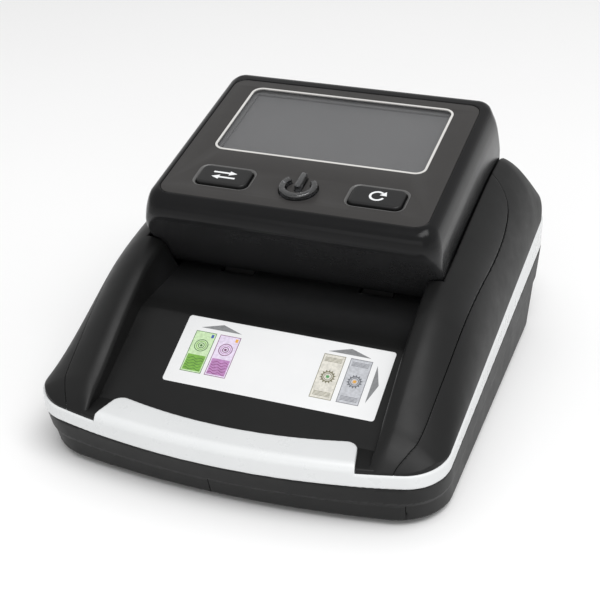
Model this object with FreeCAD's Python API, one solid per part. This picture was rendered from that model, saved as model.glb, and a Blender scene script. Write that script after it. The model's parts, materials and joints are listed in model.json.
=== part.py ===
# Banknote detector with a feed ramp, a hinged display head and a white trim band.
# Millimetres. X to the right, Y to the back, Z up. The shape is laid out from the
# front edge of the trim band (y = 0) and the underside of the case (z = 0), and is
# shifted at export so that the origin is the centre of the footprint, at the floor.
import FreeCAD, Part
import os, math

V = FreeCAD.Vector

# ---------------------------------------------------------------- driving sizes
FOOT_H = 2.0            # rubber feet below the case
FOOT_R = 6.5
WALL = 2.4              # shell wall
GAP = 0.15              # half of a parting line between two casings

# plan outline: half width, front sagitta, front corner radius, front y, rear y
TRIM_HW, TRIM_SAG, TRIM_RC, TRIM_Y0, Y_REAR = 75.0, 10.9, 9.0, 0.2, 187.0
CASE_HW, CASE_Y0 = 74.4, 0.7
REAR_RC, REAR_SAG = 14.0, 3.0
BASE_HW, BASE_SAG, BASE_RC, BASE_Y0, BASE_YR = 74.1, 8.4, 8.6, 6.0, 170.0

# sloping parting planes, z = z0 + slope * y
STEP_Z, STEP_S = 8.0, 0.0625      # step in the lower case
LOW_Z, LOW_S = 16.14, 0.082       # lower edge of the white band
UP_Z, UP_S = 20.95, 0.125         # upper edge of the white band

# feed ramp and note path
WALL_X = 51.2           # inner face of the tray walls
VALLEY_X = 57.2         # half width of the bay that the head sits in
RAMP_Y, RAMP_Z, RAMP_S = 18.2, 23.9, 0.48
CREST_Y = 53.4
FLOOR_Z = 41.0          # note path
FLOOR_T = 2.2
SLOT_H = 4.6            # height of the note slot
LABEL = (-30.4, 48.1, 10.3, 39.0)   # x from, x to, along the ramp from, to

# head
HEAD_HW = 56.5          # half width at the bay
RIM_HW = 53.0           # half width at the panel
TILT = 10.946           # tilt of the panel
PANEL_Y, PANEL_Z = 102.015, 86.40   # front edge of the display window
PLATE = (50.8, -31.4, 51.2)         # face plate: half width, v from, v to
HINGE_Y, HINGE_Z, PIN_R = 156.0, 53.0, 2.0
HEAD_OPEN = 50.0
WIN_HW, WIN_L, WIN_LINE = 41.72, 46.75, 1.25
KEY_X, KEY_V, KEY_W, KEY_L = 29.35, -17.7, 19.6, 11.0
KEY_TRAVEL = 0.8
POW_V, POW_R, POW_T = -19.0, 7.1, 2.4

# drive
SHAFT_R, ROLL_R, PINCH_R = 3.0, 11.0, 5.0
PROUD = 0.8             # drive rollers above the path
ROLL_X, ROLL_W = 28.0, 12.0
FRONT_Y, BACK_Y = 98.0, 140.0
SHAFT_Z = FLOOR_Z + PROUD - ROLL_R
PINCH_Z = FLOOR_Z + PROUD + 0.3 + PINCH_R
PINCH_SHAFT_R = 1.5
MOTOR_Y, MOTOR_Z, MOTOR_R = 68.0, 17.0, 12.0
PULLEY_R, MOTOR_PULLEY_R, BELT_T = 5.6, 4.0, 1.0

Y_MID = (TRIM_Y0 + Y_REAR) / 2.0
os.makedirs("parts", exist_ok=True)
made = {}


# ---------------------------------------------------------------- helpers
def pchip(pts):
    xs = [p[0] for p in pts]
    ys = [p[1] for p in pts]
    n = len(xs)
    h = [xs[i + 1] - xs[i] for i in range(n - 1)]
    d = [(ys[i + 1] - ys[i]) / h[i] for i in range(n - 1)]
    m = [d[0]] + [0.0] * (n - 2) + [d[-1]]
    for i in range(1, n - 1):
        if d[i - 1] * d[i] > 0:
            w1, w2 = 2 * h[i] + h[i - 1], h[i] + 2 * h[i - 1]
            m[i] = (w1 + w2) / (w1 / d[i - 1] + w2 / d[i])

    def f(x):
        if x <= xs[0]:
            return ys[0] + m[0] * (x - xs[0])
        if x >= xs[-1]:
            return ys[-1] + m[-1] * (x - xs[-1])
        i = 0
        while x > xs[i + 1]:
            i += 1
        t = (x - xs[i]) / h[i]
        return ((2 * t ** 3 - 3 * t ** 2 + 1) * ys[i] + (t ** 3 - 2 * t ** 2 + t) * h[i] * m[i]
                + (-2 * t ** 3 + 3 * t ** 2) * ys[i + 1] + (t ** 3 - t ** 2) * h[i] * m[i + 1])
    return f


def box(x0, x1, y0, y1, z0, z1):
    return Part.makeBox(x1 - x0, y1 - y0, z1 - z0, V(x0, y0, z0))


def cyl(r, h, p, d=(0, 0, 1)):
    return Part.makeCylinder(r, h, V(*p), V(*d))


def cyl_x(r, x0, x1, y, z):
    return Part.makeCylinder(r, x1 - x0, V(x0, y, z), V(1, 0, 0))


def ring_x(r1, r0, x0, x1, y, z):
    return cyl_x(r1, x0, x1, y, z).cut(cyl_x(r0, x0 - 1, x1 + 1, y, z))


def prism_x(pts, x0, x1):
    w = Part.makePolygon([V(x0, p[0], p[1]) for p in pts + [pts[0]]])
    return Part.Face(w).extrude(V(x1 - x0, 0, 0))


def prism_z(pts, z0, z1):
    w = Part.makePolygon([V(p[0], p[1], z0) for p in pts + [pts[0]]])
    return Part.Face(w).extrude(V(0, 0, z1 - z0))


def rrect(x0, x1, y0, y1, z0, z1, r):
    s = box(x0, x1, y0, y1, z0, z1)
    es = [e for e in s.Edges if abs(e.Vertexes[0].X - e.Vertexes[1].X) < 1e-6
          and abs(e.Vertexes[0].Y - e.Vertexes[1].Y) < 1e-6]
    return s.makeFillet(r, es)


def mirror(s):
    return s.mirror(V(0, 0, 0), V(1, 0, 0))


def both(s):
    return s.fuse(mirror(s))


def fuse(*ss):
    out = ss[0]
    for s in ss[1:]:
        out = out.fuse(s)
    return out.removeSplitter()


def group(*ss):
    return Part.makeCompound(list(ss))


def below(z0, s, up=False):
    """Half space under (or over) the plane z = z0 + s * y, as a large block."""
    ya, yb = -40.0, 260.0
    za, zb = z0 + s * ya, z0 + s * yb
    far = 160.0 if up else -60.0
    return prism_x([(ya, za), (yb, zb), (yb, far), (ya, far)], -120, 120)


def outline(hw, sag, rc, y0, yr, rcr, sagr, z):
    """Closed plan outline with bowed front and rear and round corners."""
    rf = (hw * hw + sag * sag) / (2 * sag)
    cy = y0 + rf
    yc = cy - math.sqrt((rf - rc) ** 2 - (hw - rc) ** 2)
    d = V(hw - rc, yc - cy, 0).normalize()
    pf = V(d.x * rf, cy + d.y * rf, z)
    dm = V(1, 0, 0) + d
    dm.normalize()
    pm = V(hw - rc + dm.x * rc, yc + dm.y * rc, z)
    rr = (hw * hw + sagr * sagr) / (2 * sagr)
    cyr = yr - rr
    ycr = cyr + math.sqrt((rr - rcr) ** 2 - (hw - rcr) ** 2)
    e = V(hw - rcr, ycr - cyr, 0).normalize()
    pr = V(e.x * rr, cyr + e.y * rr, z)
    em = V(1, 0, 0) + e
    em.normalize()
    pn = V(hw - rcr + em.x * rcr, ycr + em.y * rcr, z)
    m = lambda p: V(-p.x, p.y, p.z)
    a = lambda p, q, r: Part.Arc(p, q, r).toShape()
    l = lambda p, q: Part.LineSegment(p, q).toShape()
    es = [a(m(pf), V(0, y0, z), pf), a(pf, pm, V(hw, yc, z)), l(V(hw, yc, z), V(hw, ycr, z)),
          a(V(hw, ycr, z), pn, pr), a(pr, V(0, yr, z), m(pr)), a(m(pr), m(pn), V(-hw, ycr, z)),
          l(V(-hw, ycr, z), V(-hw, yc, z)), a(V(-hw, yc, z), m(pm), m(pf))]
    return Part.Wire(es)


def plan_prism(o, z0, z1, hw=CASE_HW, y0=CASE_Y0, yr=Y_REAR - 0.4):
    w = outline(hw - o, TRIM_SAG, max(TRIM_RC - o, 3), y0 + o, yr - o, REAR_RC - o, REAR_SAG, z0)
    return Part.Face(w).extrude(V(0, 0, z1 - z0))


def tub(o, z0, z1):
    """Lower case form: bowed front leaning back towards the floor."""
    ws = []
    for z in (z0, z1):
        ws.append(outline(BASE_HW + 0.028 * z - o, BASE_SAG + 0.15 * z, BASE_RC - o * 0.4,
                          BASE_Y0 - 0.349 * z + o, BASE_YR + 0.535 * z - o, 13.0, REAR_SAG, z))
    return Part.makeLoft(ws, True, True)


def export(name, s):
    s = s.translated(V(0, -Y_MID, FOOT_H)) if hasattr(s, "translated") else s
    for i, so in enumerate(s.Solids):
        if not so.isValid() or so.Volume <= 0:
            print("WARN", name, i, so.isValid(), so.Volume)
    if not s.Solids:
        print("WARN no solid", name)
    s.exportStep("parts/%s.step" % name)
    made[name] = s
    print("%-22s solids %2d  volume %9.1f" % (name, len(s.Solids), s.Volume))


# the head's panel frame: u across, v along the panel, w out of it
PANEL = FreeCAD.Placement(V(0, PANEL_Y, PANEL_Z), FreeCAD.Rotation(V(1, 0, 0), TILT))


def on_panel(s):
    s = s.copy()
    s.Placement = PANEL.multiply(s.Placement)
    return s


# ---------------------------------------------------------------- shoulders
ridge = pchip([(-6, 21.4), (0, 22.0), (6, 24.0), (10, 25.8), (14, 27.9), (20, 31.6), (30, 38.6),
               (40, 45.0), (50, 50.4), (60, 54.8), (70, 57.9), (76, 59.2), (90, 62.0), (105, 64.8),
               (120, 67.3), (135, 69.5), (150, 71.2), (160, 71.5), (168, 69.6), (175, 64.8),
               (181, 57.5), (186, 49.5), (190, 46.5)])
power = pchip([(0, 1.25), (25, 1.3), (60, 1.6), (120, 1.5), (160, 1.6), (185, 1.9)])
seam_x = pchip([(-4, 62.4), (8, 63.0), (18, 64.4), (32, 66.0), (46, 67.4), (65, 68.6), (85, 69.0),
                (105, 68.6), (125, 67.4), (142, 65.4)])


def shoulder(o, xa, stations):
    ws = []
    for y in stations:
        zs = UP_Z + UP_S * y
        zr = max(ridge(y), zs + 0.8) - o
        zs2 = zs - o
        hw = CASE_HW - o - 56.0
        p = power(y)
        pts = [V(xa, y, zr - 2.0 * ((56 - xa) / 4.8) ** 2), V(53.8, y, zr - 2.0 * (2.2 / 4.8) ** 2)]
        n = 9
        for i in range(n + 1):
            t = math.pi / 2 * i / n
            x = 56 + hw * math.sin(t) ** (2 / p)
            z = zs2 + (zr - zs2) * max(math.cos(t), 0.0) ** (2 / p)
            pts.append(V(x, y, z))
        c = Part.BSplineCurve()
        c.interpolate(pts)
        b, a = V(56 + hw, y, 8.0), V(xa, y, 8.0)
        ws.append(Part.Wire([c.toShape(), Part.makeLine(pts[-1], b), Part.makeLine(b, a),
                             Part.makeLine(a, pts[0])]))
    return Part.makeLoft(ws, True, True)


ST = [-4, 3, 8, 12, 16, 22, 28, 34, 40, 46, 53, 60, 68, 76, 86, 98, 112, 128, 142, 152, 160, 166, 171,
      176, 180, 184, 189]
# bay for the head, behind the leaning front wall of the head
LEAN = ((66.3, 71.9), (84.5, 45.9))
ln = math.hypot(LEAN[1][0] - LEAN[0][0], LEAN[1][1] - LEAN[0][1])
ldy, ldz = (LEAN[1][0] - LEAN[0][0]) / ln, (LEAN[1][1] - LEAN[0][1]) / ln


def lean(z, off=0.0):
    """y of the head's leaning front wall at height z, moved forward by off."""
    t = (z - LEAN[0][1]) / ldz
    return LEAN[0][0] + ldy * t - off / abs(ldz)


def bay(o, hw):
    f = 0.6 + o
    return prism_x([(lean(FLOOR_Z - o, f), FLOOR_Z - o), (lean(90, f), 90), (240, 90), (240, FLOOR_Z - o)], -hw, hw)


s_out = shoulder(0, WALL_X, ST).common(plan_prism(0, 5, 90)).cut(bay(0, VALLEY_X))
s_in = shoulder(WALL, WALL_X + WALL, ST).common(plan_prism(WALL, 4, 90)).cut(bay(WALL, VALLEY_X + WALL))
upper_cut = below(UP_Z + 0.06, UP_S)
shell = s_out.cut(s_in).cut(upper_cut)
print("shell", shell.isValid(), len(shell.Solids), round(shell.Volume))

ys = [-4 + 3.0 * i for i in range(50)]
ys = [y for y in ys if y <= 142] + [142]
sp = [(seam_x(y), y) for y in ys] + [(64.4, 147), (63.0, 151.5), (61.0, 156), (58.8, 159.5), (56.0, 162.5)]


def seam_region(d):
    return prism_z([(sx + d, y) for sx, y in sp] + [(30, 162.5 + d), (30, -4)], 0, 100)


deck_r = shell.common(seam_region(-GAP))
case_r = shell.cut(seam_region(GAP))

# ---------------------------------------------------------------- feed deck
ramp_z = lambda y: RAMP_Z + RAMP_S * (y - RAMP_Y)
SILL_Y = RAMP_Y + (22.0 - RAMP_Z) / RAMP_S          # ramp meets the flat sill
c_z = ramp_z(CREST_Y)
top = [(4.0, 22.0), (SILL_Y, 22.0), (CREST_Y, c_z), (CREST_Y + 4, FLOOR_Z), (183.4, FLOOR_Z)]
under = [(183.4, FLOOR_Z - FLOOR_T), (CREST_Y + 3.4, FLOOR_Z - FLOOR_T), (CREST_Y + 0.8, c_z - FLOOR_T),
         (SILL_Y + 0.6, 22.0 - FLOOR_T), (4.0, 22.0 - FLOOR_T)]
prof = top + under
floor = prism_x(prof, -(WALL_X + 1.0), WALL_X + 1.0)
wide = box(-(VALLEY_X + 1.0), VALLEY_X + 1.0, lean(FLOOR_Z, 0.6) - 0.5, 162.0, FLOOR_Z - FLOOR_T, FLOOR_Z)
tail = box(-(VALLEY_X - 0.3), VALLEY_X - 0.3, 161.0, 183.4, FLOOR_Z - FLOOR_T, FLOOR_Z)
# plan form of the white lip that rises in front of the ramp
LIP_HW, LIP_Y, LIP_Z = 47.5, 12.4, 24.9


def lip_plan(o, z0, z1, y_front=-20.0):
    pts_r = []
    hw = LIP_HW + o
    for i in range(0, 13):
        x = 42.6 * i / 12.0
        pts_r.append((x, LIP_Y + o + 5.9 * (x / 42.6) ** 2))
    cx, cyy, r = 42.6, 13.3, 4.9 + o
    for i in range(1, 9):
        a = math.radians(90 - 90 * i / 8.0)
        pts_r.append((cx + r * math.cos(a), cyy + 5.0 * math.sin(a) + o * math.sin(a)))
    pts_r.append((hw, y_front))
    pts = pts_r + [(-x, y) for x, y in reversed(pts_r) if x > 0]
    return prism_z(pts, z0, z1)


floor = fuse(floor, wide, tail)
# below the upper edge of the band the floor stays inside the band; above it, inside the case
floor = floor.cut(upper_cut.cut(plan_prism(3.4, -80, 120, TRIM_HW, TRIM_Y0, Y_REAR)))
floor = floor.cut(box(-120, 120, -40, 40, 0, 60).cut(plan_prism(0.0, -5, 70)))
# the walls of the tray and the bay, either side of the floor
tray_wall = deck_r.cut(lip_plan(0.2, 10, 40))
# room for the drive under the note path
skirt = box(WALL_X - 0.4, WALL_X + WALL + 0.3, 87.0, 170.0, 10, FLOOR_Z - FLOOR_T)
tray_wall = tray_wall.cut(skirt).removeSplitter()
export("tray_wall_right", tray_wall)
export("tray_wall_left", mirror(tray_wall))
deck = floor.cut(deck_r).cut(mirror(deck_r)).cut(lip_plan(0.2, 10, 40))
deck = deck.cut(skirt).cut(mirror(skirt))
deck = max(deck.Solids, key=lambda q: q.Volume)
# roller and sensor windows in the note path
for y in (FRONT_Y, BACK_Y):
    for x in (-ROLL_X, ROLL_X):
        deck = deck.cut(box(x - ROLL_W / 2 - 0.8, x + ROLL_W / 2 + 0.8, y - 8.4, y + 8.4, 30, 50))
SENS_Y, SENS_HW, SENS_L = 119.0, 40.4, 9.0
deck = deck.cut(box(-SENS_HW, SENS_HW, SENS_Y - SENS_L / 2, SENS_Y + SENS_L / 2, 30, 50))
ledge = box(-SENS_HW - 2, SENS_HW + 2, SENS_Y - SENS_L / 2 - 2, SENS_Y + SENS_L / 2 + 2, FLOOR_Z - FLOOR_T - 1.4,
            FLOOR_Z - FLOOR_T)
ledge = ledge.cut(box(-SENS_HW + 1.5, SENS_HW - 1.5, SENS_Y - SENS_L / 2 + 1.5, SENS_Y + SENS_L / 2 - 1.5, 30, 50))
deck = deck.fuse(ledge)
# hinge ears behind the note path
EAR_X0, EAR_X1 = 46.6, 50.6
ear = prism_x([(HINGE_Y - 5.5, FLOOR_Z - 1), (HINGE_Y - 4.5, HINGE_Z), (HINGE_Y + 4.5, HINGE_Z), (HINGE_Y + 5.5, FLOOR_Z - 1)],
              EAR_X0, EAR_X1).fuse(cyl_x(4.5, EAR_X0, EAR_X1, HINGE_Y, HINGE_Z))
ear = ear.cut(cyl_x(PIN_R + 0.05, EAR_X0 - 1, EAR_X1 + 1, HINGE_Y, HINGE_Z))
deck = fuse(deck, ear, mirror(ear))
# screw bosses: two pairs in the side covers, three in the deck
COVER_SCREWS = [(68.4, 27.0), (-68.4, 27.0), (66.0, 160.0), (-66.0, 160.0)]
DECK_SCREWS = [(-40.0, 32.0), (-50.0, 156.0), (50.0, 156.0)]
BOSS_Z = 15.0


def boss(x, y, z1, r=3.5):
    return cyl(r, z1 - BOSS_Z - 0.1, (x, y, BOSS_Z + 0.1)).cut(cyl(1.5, 9.0, (x, y, BOSS_Z)))


for x, y in DECK_SCREWS:
    b = boss(x, y, FLOOR_Z - 1.0)
    if y < CREST_Y:
        b = b.common(below(RAMP_Z - RAMP_S * RAMP_Y - 1.0, RAMP_S))
    deck = deck.fuse(b)
deck = deck.removeSplitter()
export("feed_deck", deck)

# ---------------------------------------------------------------- side covers
for nm, sh, sgn in (("side_cover_right", case_r, 1), ("side_cover_left", mirror(case_r), -1)):
    solid = s_out if sgn > 0 else mirror(s_out)
    for x, y in COVER_SCREWS:
        if x * sgn > 0:
            sh = sh.fuse(boss(x, y, 80, 2.7).common(solid))
    export(nm, sh.removeSplitter())

# ---------------------------------------------------------------- white trim
ring = plan_prism(0, 5, 80, TRIM_HW, TRIM_Y0, Y_REAR).cut(plan_prism(3.2, 4, 81, TRIM_HW, TRIM_Y0, Y_REAR))
band_up, band_low = below(UP_Z, UP_S, True), below(LOW_Z + 0.02, LOW_S)
trim = ring.cut(band_up).cut(band_low)
trim = trim.cut(box(-60, 60, 178, 200, 0, 90))
lip = lip_plan(0, 12, LIP_Z).common(plan_prism(0.3, 5, 80, TRIM_HW, TRIM_Y0, Y_REAR)).cut(band_low)
lip = lip.cut(lip_plan(-2.2, 5, LIP_Z - 2.2).common(plan_prism(2.6, 5, 80, TRIM_HW, TRIM_Y0, Y_REAR)))
try:
    es = [e for e in lip.Edges if all(abs(v.Z - LIP_Z) < 1e-4 for v in e.Vertexes) and e.CenterOfMass.y < 9.0
          and e.Length > 40]
    lip2 = lip.makeFillet(2.0, es)
    if lip2.isValid() and len(lip2.Solids) == 1:
        lip = lip2
except Exception as ex:
    print("lip edge left sharp", ex)
trim = trim.fuse(lip).removeSplitter()
export("white_trim", trim)

# ---------------------------------------------------------------- lower case
low_top = below(LOW_Z - 0.06, LOW_S, True)
step_up, step_dn = below(STEP_Z, STEP_S, True), below(STEP_Z, STEP_S)
solid = tub(0, 0, 45).cut(low_top).cut(step_dn).fuse(tub(0.6, 0, 45).common(step_dn))
tub_solid = solid.removeSplitter()
cavity = tub(0.6 + WALL, 0.001, 45).common(box(-100, 100, -50, 250, 2.4, 60))
lower = tub_solid.cut(cavity)
# recessed socket panel in the rear wall
rec = box(25.0, 57.0, 166.6, 195, 4.6, 23.4).common(tub_solid)
lower = lower.fuse(rec).cut(box(26.6, 55.4, 169.0, 200, 6.2, 21.8))
JACK = (35.0, 14.0)
PORT = (47.0, 14.0)
lower = lower.cut(cyl(4.3, 20, (JACK[0], 160, JACK[1]), (0, 1, 0)))
lower = lower.cut(box(PORT[0] - 4.2, PORT[0] + 4.2, 160, 172, PORT[1] - 2.4, PORT[1] + 2.4))
# bosses
for x, y in COVER_SCREWS + DECK_SCREWS:
    lower = lower.fuse(cyl(3.9, BOSS_Z - 0.5, (x, y, 0.5)).common(tub_solid))
lower = lower.removeSplitter()
for x, y in COVER_SCREWS + DECK_SCREWS:
    lower = lower.cut(cyl(3.3, 7.0, (x, y, -1.0))).cut(cyl(1.65, 30, (x, y, 0)))
# posts for the main board
PCB = (-44.0, 40.0, 84.0, 158.0, 9.0)
PCB_HOLES = [(-40, 88), (36, 88), (-40, 154), (36, 154)]
for x, y in PCB_HOLES:
    lower = lower.fuse(cyl(3.2, PCB[4] - 2.0, (x, y, 2.0)).cut(cyl(1.25, 8, (x, y, PCB[4] - 6))))
# battery bay and its door, whose seams show on the front
DOOR = (-5.0, 63.0, 52.0, 8.0)
DOOR_X = 48.0           # the bottom plate of the door is narrower than its front
door_cut = box(DOOR[0], DOOR[1], -20, 13.0, -5, DOOR[3]).fuse(box(DOOR[0], DOOR_X, -20, DOOR[2], -5, DOOR[3]))
door_box = box(DOOR[0] + 0.25, DOOR[1] - 0.25, -20, 12.75, -5, DOOR[3] - 0.2).fuse(
    box(DOOR[0] + 0.25, DOOR_X - 0.25, -20, DOOR[2] - 0.25, -5, DOOR[3] - 0.2))
door = lower.common(door_box)
lower = lower.cut(door_cut)
bay_ring = box(-6.8, 49.8, 13.6, 53.8, 2.2, 21.0).cut(box(-5.2, 48.2, 15.2, 52.2, 0, 30)).cut(box(-5.2, 48.2, 0, 52.1, 0, 2.8))
bay_ring = bay_ring.common(tub_solid)
lower = lower.fuse(bay_ring).removeSplitter()
export("bottom_case", lower)
export("battery_door", door)

# rear panel between the ends of the white band
rp = plan_prism(0.0, 5, 80, TRIM_HW, TRIM_Y0, Y_REAR).cut(plan_prism(2.8, 4, 81, TRIM_HW, TRIM_Y0, Y_REAR))
rp = rp.common(box(-59.6, 59.6, 178, 200, 0, FLOOR_Z - 0.1)).cut(band_low)
rp = rp.fuse(box(-57, 57, 183.6, Y_REAR - 3.2, 36.0, FLOOR_Z - 0.1).common(plan_prism(0.4, 5, 80, TRIM_HW, TRIM_Y0, Y_REAR)))
rp = rp.removeSplitter()
export("rear_panel", rp)

# feet
export("rubber_feet", group(*[cyl(FOOT_R, FOOT_H, (x, y, -FOOT_H)) for x, y in
                              ((-58, 26), (-58, 150), (58, 150), (58, 26))]))
# case screws
scr = []
for x, y in COVER_SCREWS + DECK_SCREWS:
    scr.append(cyl(3.0, 2.2, (x, y, 3.75)).fuse(cyl(1.45, 17.0, (x, y, 5.9))).cut(
        box(x - 2.2, x + 2.2, y - 0.4, y + 0.4, 3.0, 4.9)).removeSplitter())
export("case_screws", group(*scr))

# note label on the ramp
lx0, lx1, lv0, lv1 = LABEL
lab = rrect(lx0, lx1, lv0, lv1, 0.03, 0.2, 2.0)
lab.Placement = FreeCAD.Placement(V(0, RAMP_Y, RAMP_Z), FreeCAD.Rotation(V(1, 0, 0), math.degrees(math.atan(RAMP_S))))
export("note_label", lab)

# ---------------------------------------------------------------- head shell
def head_profile(o, bottom):
    """Side view of the head, moved inwards by o, as a face in the plane x = 0."""
    if o == 0:
        nose = [(70.6, 80.32), (68.7, 79.35), (67.3, 77.8), (66.4, 75.6), (66.05, 73.4), (66.3, 71.9)]
        tail_pts = [(164.5, 49.0), (164.5, 60.0), (162.6, 78.0), (160.6, 90.5)]
        back = [(160.6, 90.5), (159.6, 93.9), (157.6, 95.9), (154.4, 96.52)]
    else:
        nose = [(72.6, 77.45), (70.6, 76.6), (69.5, 75.4), (69.0, 74.0), (68.9, 73.0), (69.3, 72.0)]
        tail_pts = [(162.1, 30.0), (162.1, 60.0), (160.2, 78.0), (158.2, 90.2)]
        back = [(158.2, 90.2), (157.4, 92.2), (155.9, 93.2), (153.8, 93.22)]
    P = lambda q: V(0, q[0], q[1])
    a, b = Part.BSplineCurve(), Part.BSplineCurve()
    a.interpolate([P(q) for q in nose])
    b.interpolate([P(q) for q in back])
    if o == 0:
        low = [nose[-1], (lean(45.9), 45.9), (150.0, 45.9)] + tail_pts
    else:
        low = [nose[-1], (lean(48.0, -o), 48.0), (lean(48.0, -o), 30.0)] + tail_pts
    es = [a.toShape()] + [Part.makeLine(P(low[i]), P(low[i + 1])) for i in range(len(low) - 1)]
    es += [b.toShape(), Part.makeLine(P(back[-1]), P(nose[0]))]
    return Part.Face(Part.Wire(es))


def head_sides(o):
    half = [(RIM_HW, 3.0), (RIM_HW, 0.0), (53.6, -1.5), (54.6, -5.0), (55.6, -10.0), (56.2, -15.0), (HEAD_HW, -21.0),
            (HEAD_HW, -75.0)]
    half = [(x - o, w) for x, w in half]
    c = Part.BSplineCurve()
    c.interpolate([V(x, -70, w) for x, w in half[1:-1]])
    d = Part.BSplineCurve()
    d.interpolate([V(-x, -70, w) for x, w in reversed(half[1:-1])])
    L = lambda p, q: Part.makeLine(V(p[0], -70, p[1]), V(q[0], -70, q[1]))
    m = lambda p: (-p[0], p[1])
    w = Part.Wire([L(half[0], half[1]), c.toShape(), L(half[-2], half[-1]), L(half[-1], m(half[-1])),
                   L(m(half[-1]), m(half[-2])), d.toShape(), L(m(half[1]), m(half[0])), L(m(half[0]), half[0])])
    return on_panel(Part.Face(w).extrude(V(0, 190, 0)))


def head_form(o, bottom=45.9):
    f = head_profile(o, bottom).extrude(V(140, 0, 0)).translated(V(-70, 0, 0))
    s = f.common(head_sides(o))
    r = 9.0 - o
    plan = rrect(-HEAD_HW + o, HEAD_HW - o, 65.6 + o, 165.0 - o, 20, 120, r)
    return s.common(plan)


h_out, h_in = head_form(0), head_form(WALL)
head = h_out.cut(h_in)
# seat of the face plate with a ledge under it
pu, pv0, pv1 = PLATE
head = head.cut(on_panel(rrect(-pu - 0.25, pu + 0.25, pv0 - 0.25, pv1 + 0.25, -1.5, 6, 5.2)))
head = head.cut(on_panel(box(-46, 46, -28, 47.8, -12, 4)))
# knuckles for the hinge pins and posts for the guide screws
kn = cyl_x(4.2, 51.0, 55.0, HINGE_Y, HINGE_Z).cut(cyl_x(PIN_R, 40, 60, HINGE_Y, HINGE_Z))
head = fuse(head, kn, mirror(kn)).cut(cyl_x(PIN_R, 46, 54.2, HINGE_Y, HINGE_Z)).cut(cyl_x(PIN_R, -54.2, -46, HINGE_Y, HINGE_Z))
# windows in the rear wall that let the ears of the deck pass as the head opens
nk = box(45.9, 51.3, 160.6, 170, 40, 61.5)
head = head.cut(nk).cut(mirror(nk))
HEAD_SCREWS = [(50.4, 96.0), (-50.4, 96.0), (50.4, 145.0), (-50.4, 145.0)]
for x, y in HEAD_SCREWS:
    head = head.fuse(cyl(3.9, 15.0, (x, y, 47.8)).cut(cyl(1.25, 9.0, (x, y, 47.0))))
head = head.removeSplitter()
export("head_shell", head)
pin = cyl_x(PIN_R - 0.01, 46.0, 54.0, HINGE_Y, HINGE_Z)
export("hinge_pins", group(pin, mirror(pin)))

# underside of the head
G0, G1 = FLOOR_Z + SLOT_H, FLOOR_Z + SLOT_H + 2.0
guide = box(-53.8, 53.8, 88.4, 150.0, G0, G1)
for y in (FRONT_Y, BACK_Y):
    for x in (-ROLL_X, ROLL_X):
        guide = guide.cut(box(x - 5.8, x + 5.8, y - 5.7, y + 5.7, G0 - 1, G1 + 1))
    guide = guide.cut(box(-40.6, 40.6, y - 2.0, y + 2.0, G0 - 1, G1 + 1))
    for sgn in (-1, 1):
        b = box(min(sgn * 40.6, sgn * 45.0), max(sgn * 40.6, sgn * 45.0), y - 4.5, y + 4.5, G0, PINCH_Z + 4.0)
        guide = guide.fuse(b).cut(cyl_x(PINCH_SHAFT_R + 0.05, min(sgn * 40, sgn * 44), max(sgn * 40, sgn * 44), y, PINCH_Z))
guide = guide.cut(box(-SENS_HW, SENS_HW, SENS_Y - 4.5, SENS_Y + 4.5, G0 - 1, G1 + 1))
fr = box(-SENS_HW - 2, SENS_HW + 2, SENS_Y - 6.5, SENS_Y + 6.5, G1, G1 + 1.4).cut(
    box(-SENS_HW + 1.5, SENS_HW - 1.5, SENS_Y - 3.0, SENS_Y + 3.0, G1 - 1, G1 + 3))
guide = guide.fuse(fr)
MAG = [(-15.0, 129.9), (15.0, 129.9)]
for x, y in MAG:
    guide = guide.cut(box(x - 5.1, x + 5.1, y - 2.6, y + 2.6, G0 - 1, G1 + 3))
for x, y in HEAD_SCREWS:
    guide = guide.cut(cyl(1.65, 10, (x, y, G0 - 1))).cut(cyl(2.7, 1.2, (x, y, G0)))
UPB = (-43.0, 43.0, 111.1, 126.9, 52.0)
for x in (-40.0, 40.0):
    for y in (112.9, 125.1):
        guide = guide.fuse(cyl(1.6, UPB[4] - G1 + 0.2, (x, y, G1 - 0.2)).common(box(-60, 60, 80, 160, 0, UPB[4])))
export("head_guide", guide.removeSplitter())
export("head_screws", group(*[cyl(2.45, 1.1, (x, y, G0 + 0.05)).fuse(cyl(1.2, 8.0, (x, y, G0 + 1.1))).removeSplitter()
                              for x, y in HEAD_SCREWS]))
export("upper_window", box(-SENS_HW + 0.15, SENS_HW - 0.15, SENS_Y - 4.35, SENS_Y + 4.35, G0 + 0.05, G1 - 0.02))
export("upper_sensor_board", box(UPB[0], UPB[1], UPB[2], UPB[3], UPB[4] + 0.02, UPB[4] + 1.6).fuse(
    group(*[box(x - 2, x + 2, 117.2, 120.8, UPB[4] - 2.2, UPB[4] + 0.1) for x in (-30, -10, 10, 30)])).removeSplitter())
export("magnetic_heads", group(*[box(x - 5, x + 5, y - 2.5, y + 2.5, G0 + 0.1, G0 + 7.5) for x, y in MAG]))

# ---------------------------------------------------------------- panel parts
plate = on_panel(rrect(-pu, pu, pv0, pv1, -1.46, -0.1, 5.0))
FR = 3.2
plate = plate.cut(on_panel(rrect(-WIN_HW - 0.03, WIN_HW + 0.03, -0.03, WIN_L + 0.03, -0.62, 2, FR)))
plate = plate.cut(on_panel(rrect(-WIN_HW + 1.0, WIN_HW - 1.0, 1.0, WIN_L - 1.0, -3, 2, FR - 1.0)))
for sx in (-KEY_X, KEY_X):
    plate = plate.cut(on_panel(rrect(sx - KEY_W / 2 - 0.3, sx + KEY_W / 2 + 0.3, KEY_V - KEY_L / 2 - 0.3,
                                     KEY_V + KEY_L / 2 + 0.3, -3, 2, 2.6)))


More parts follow.
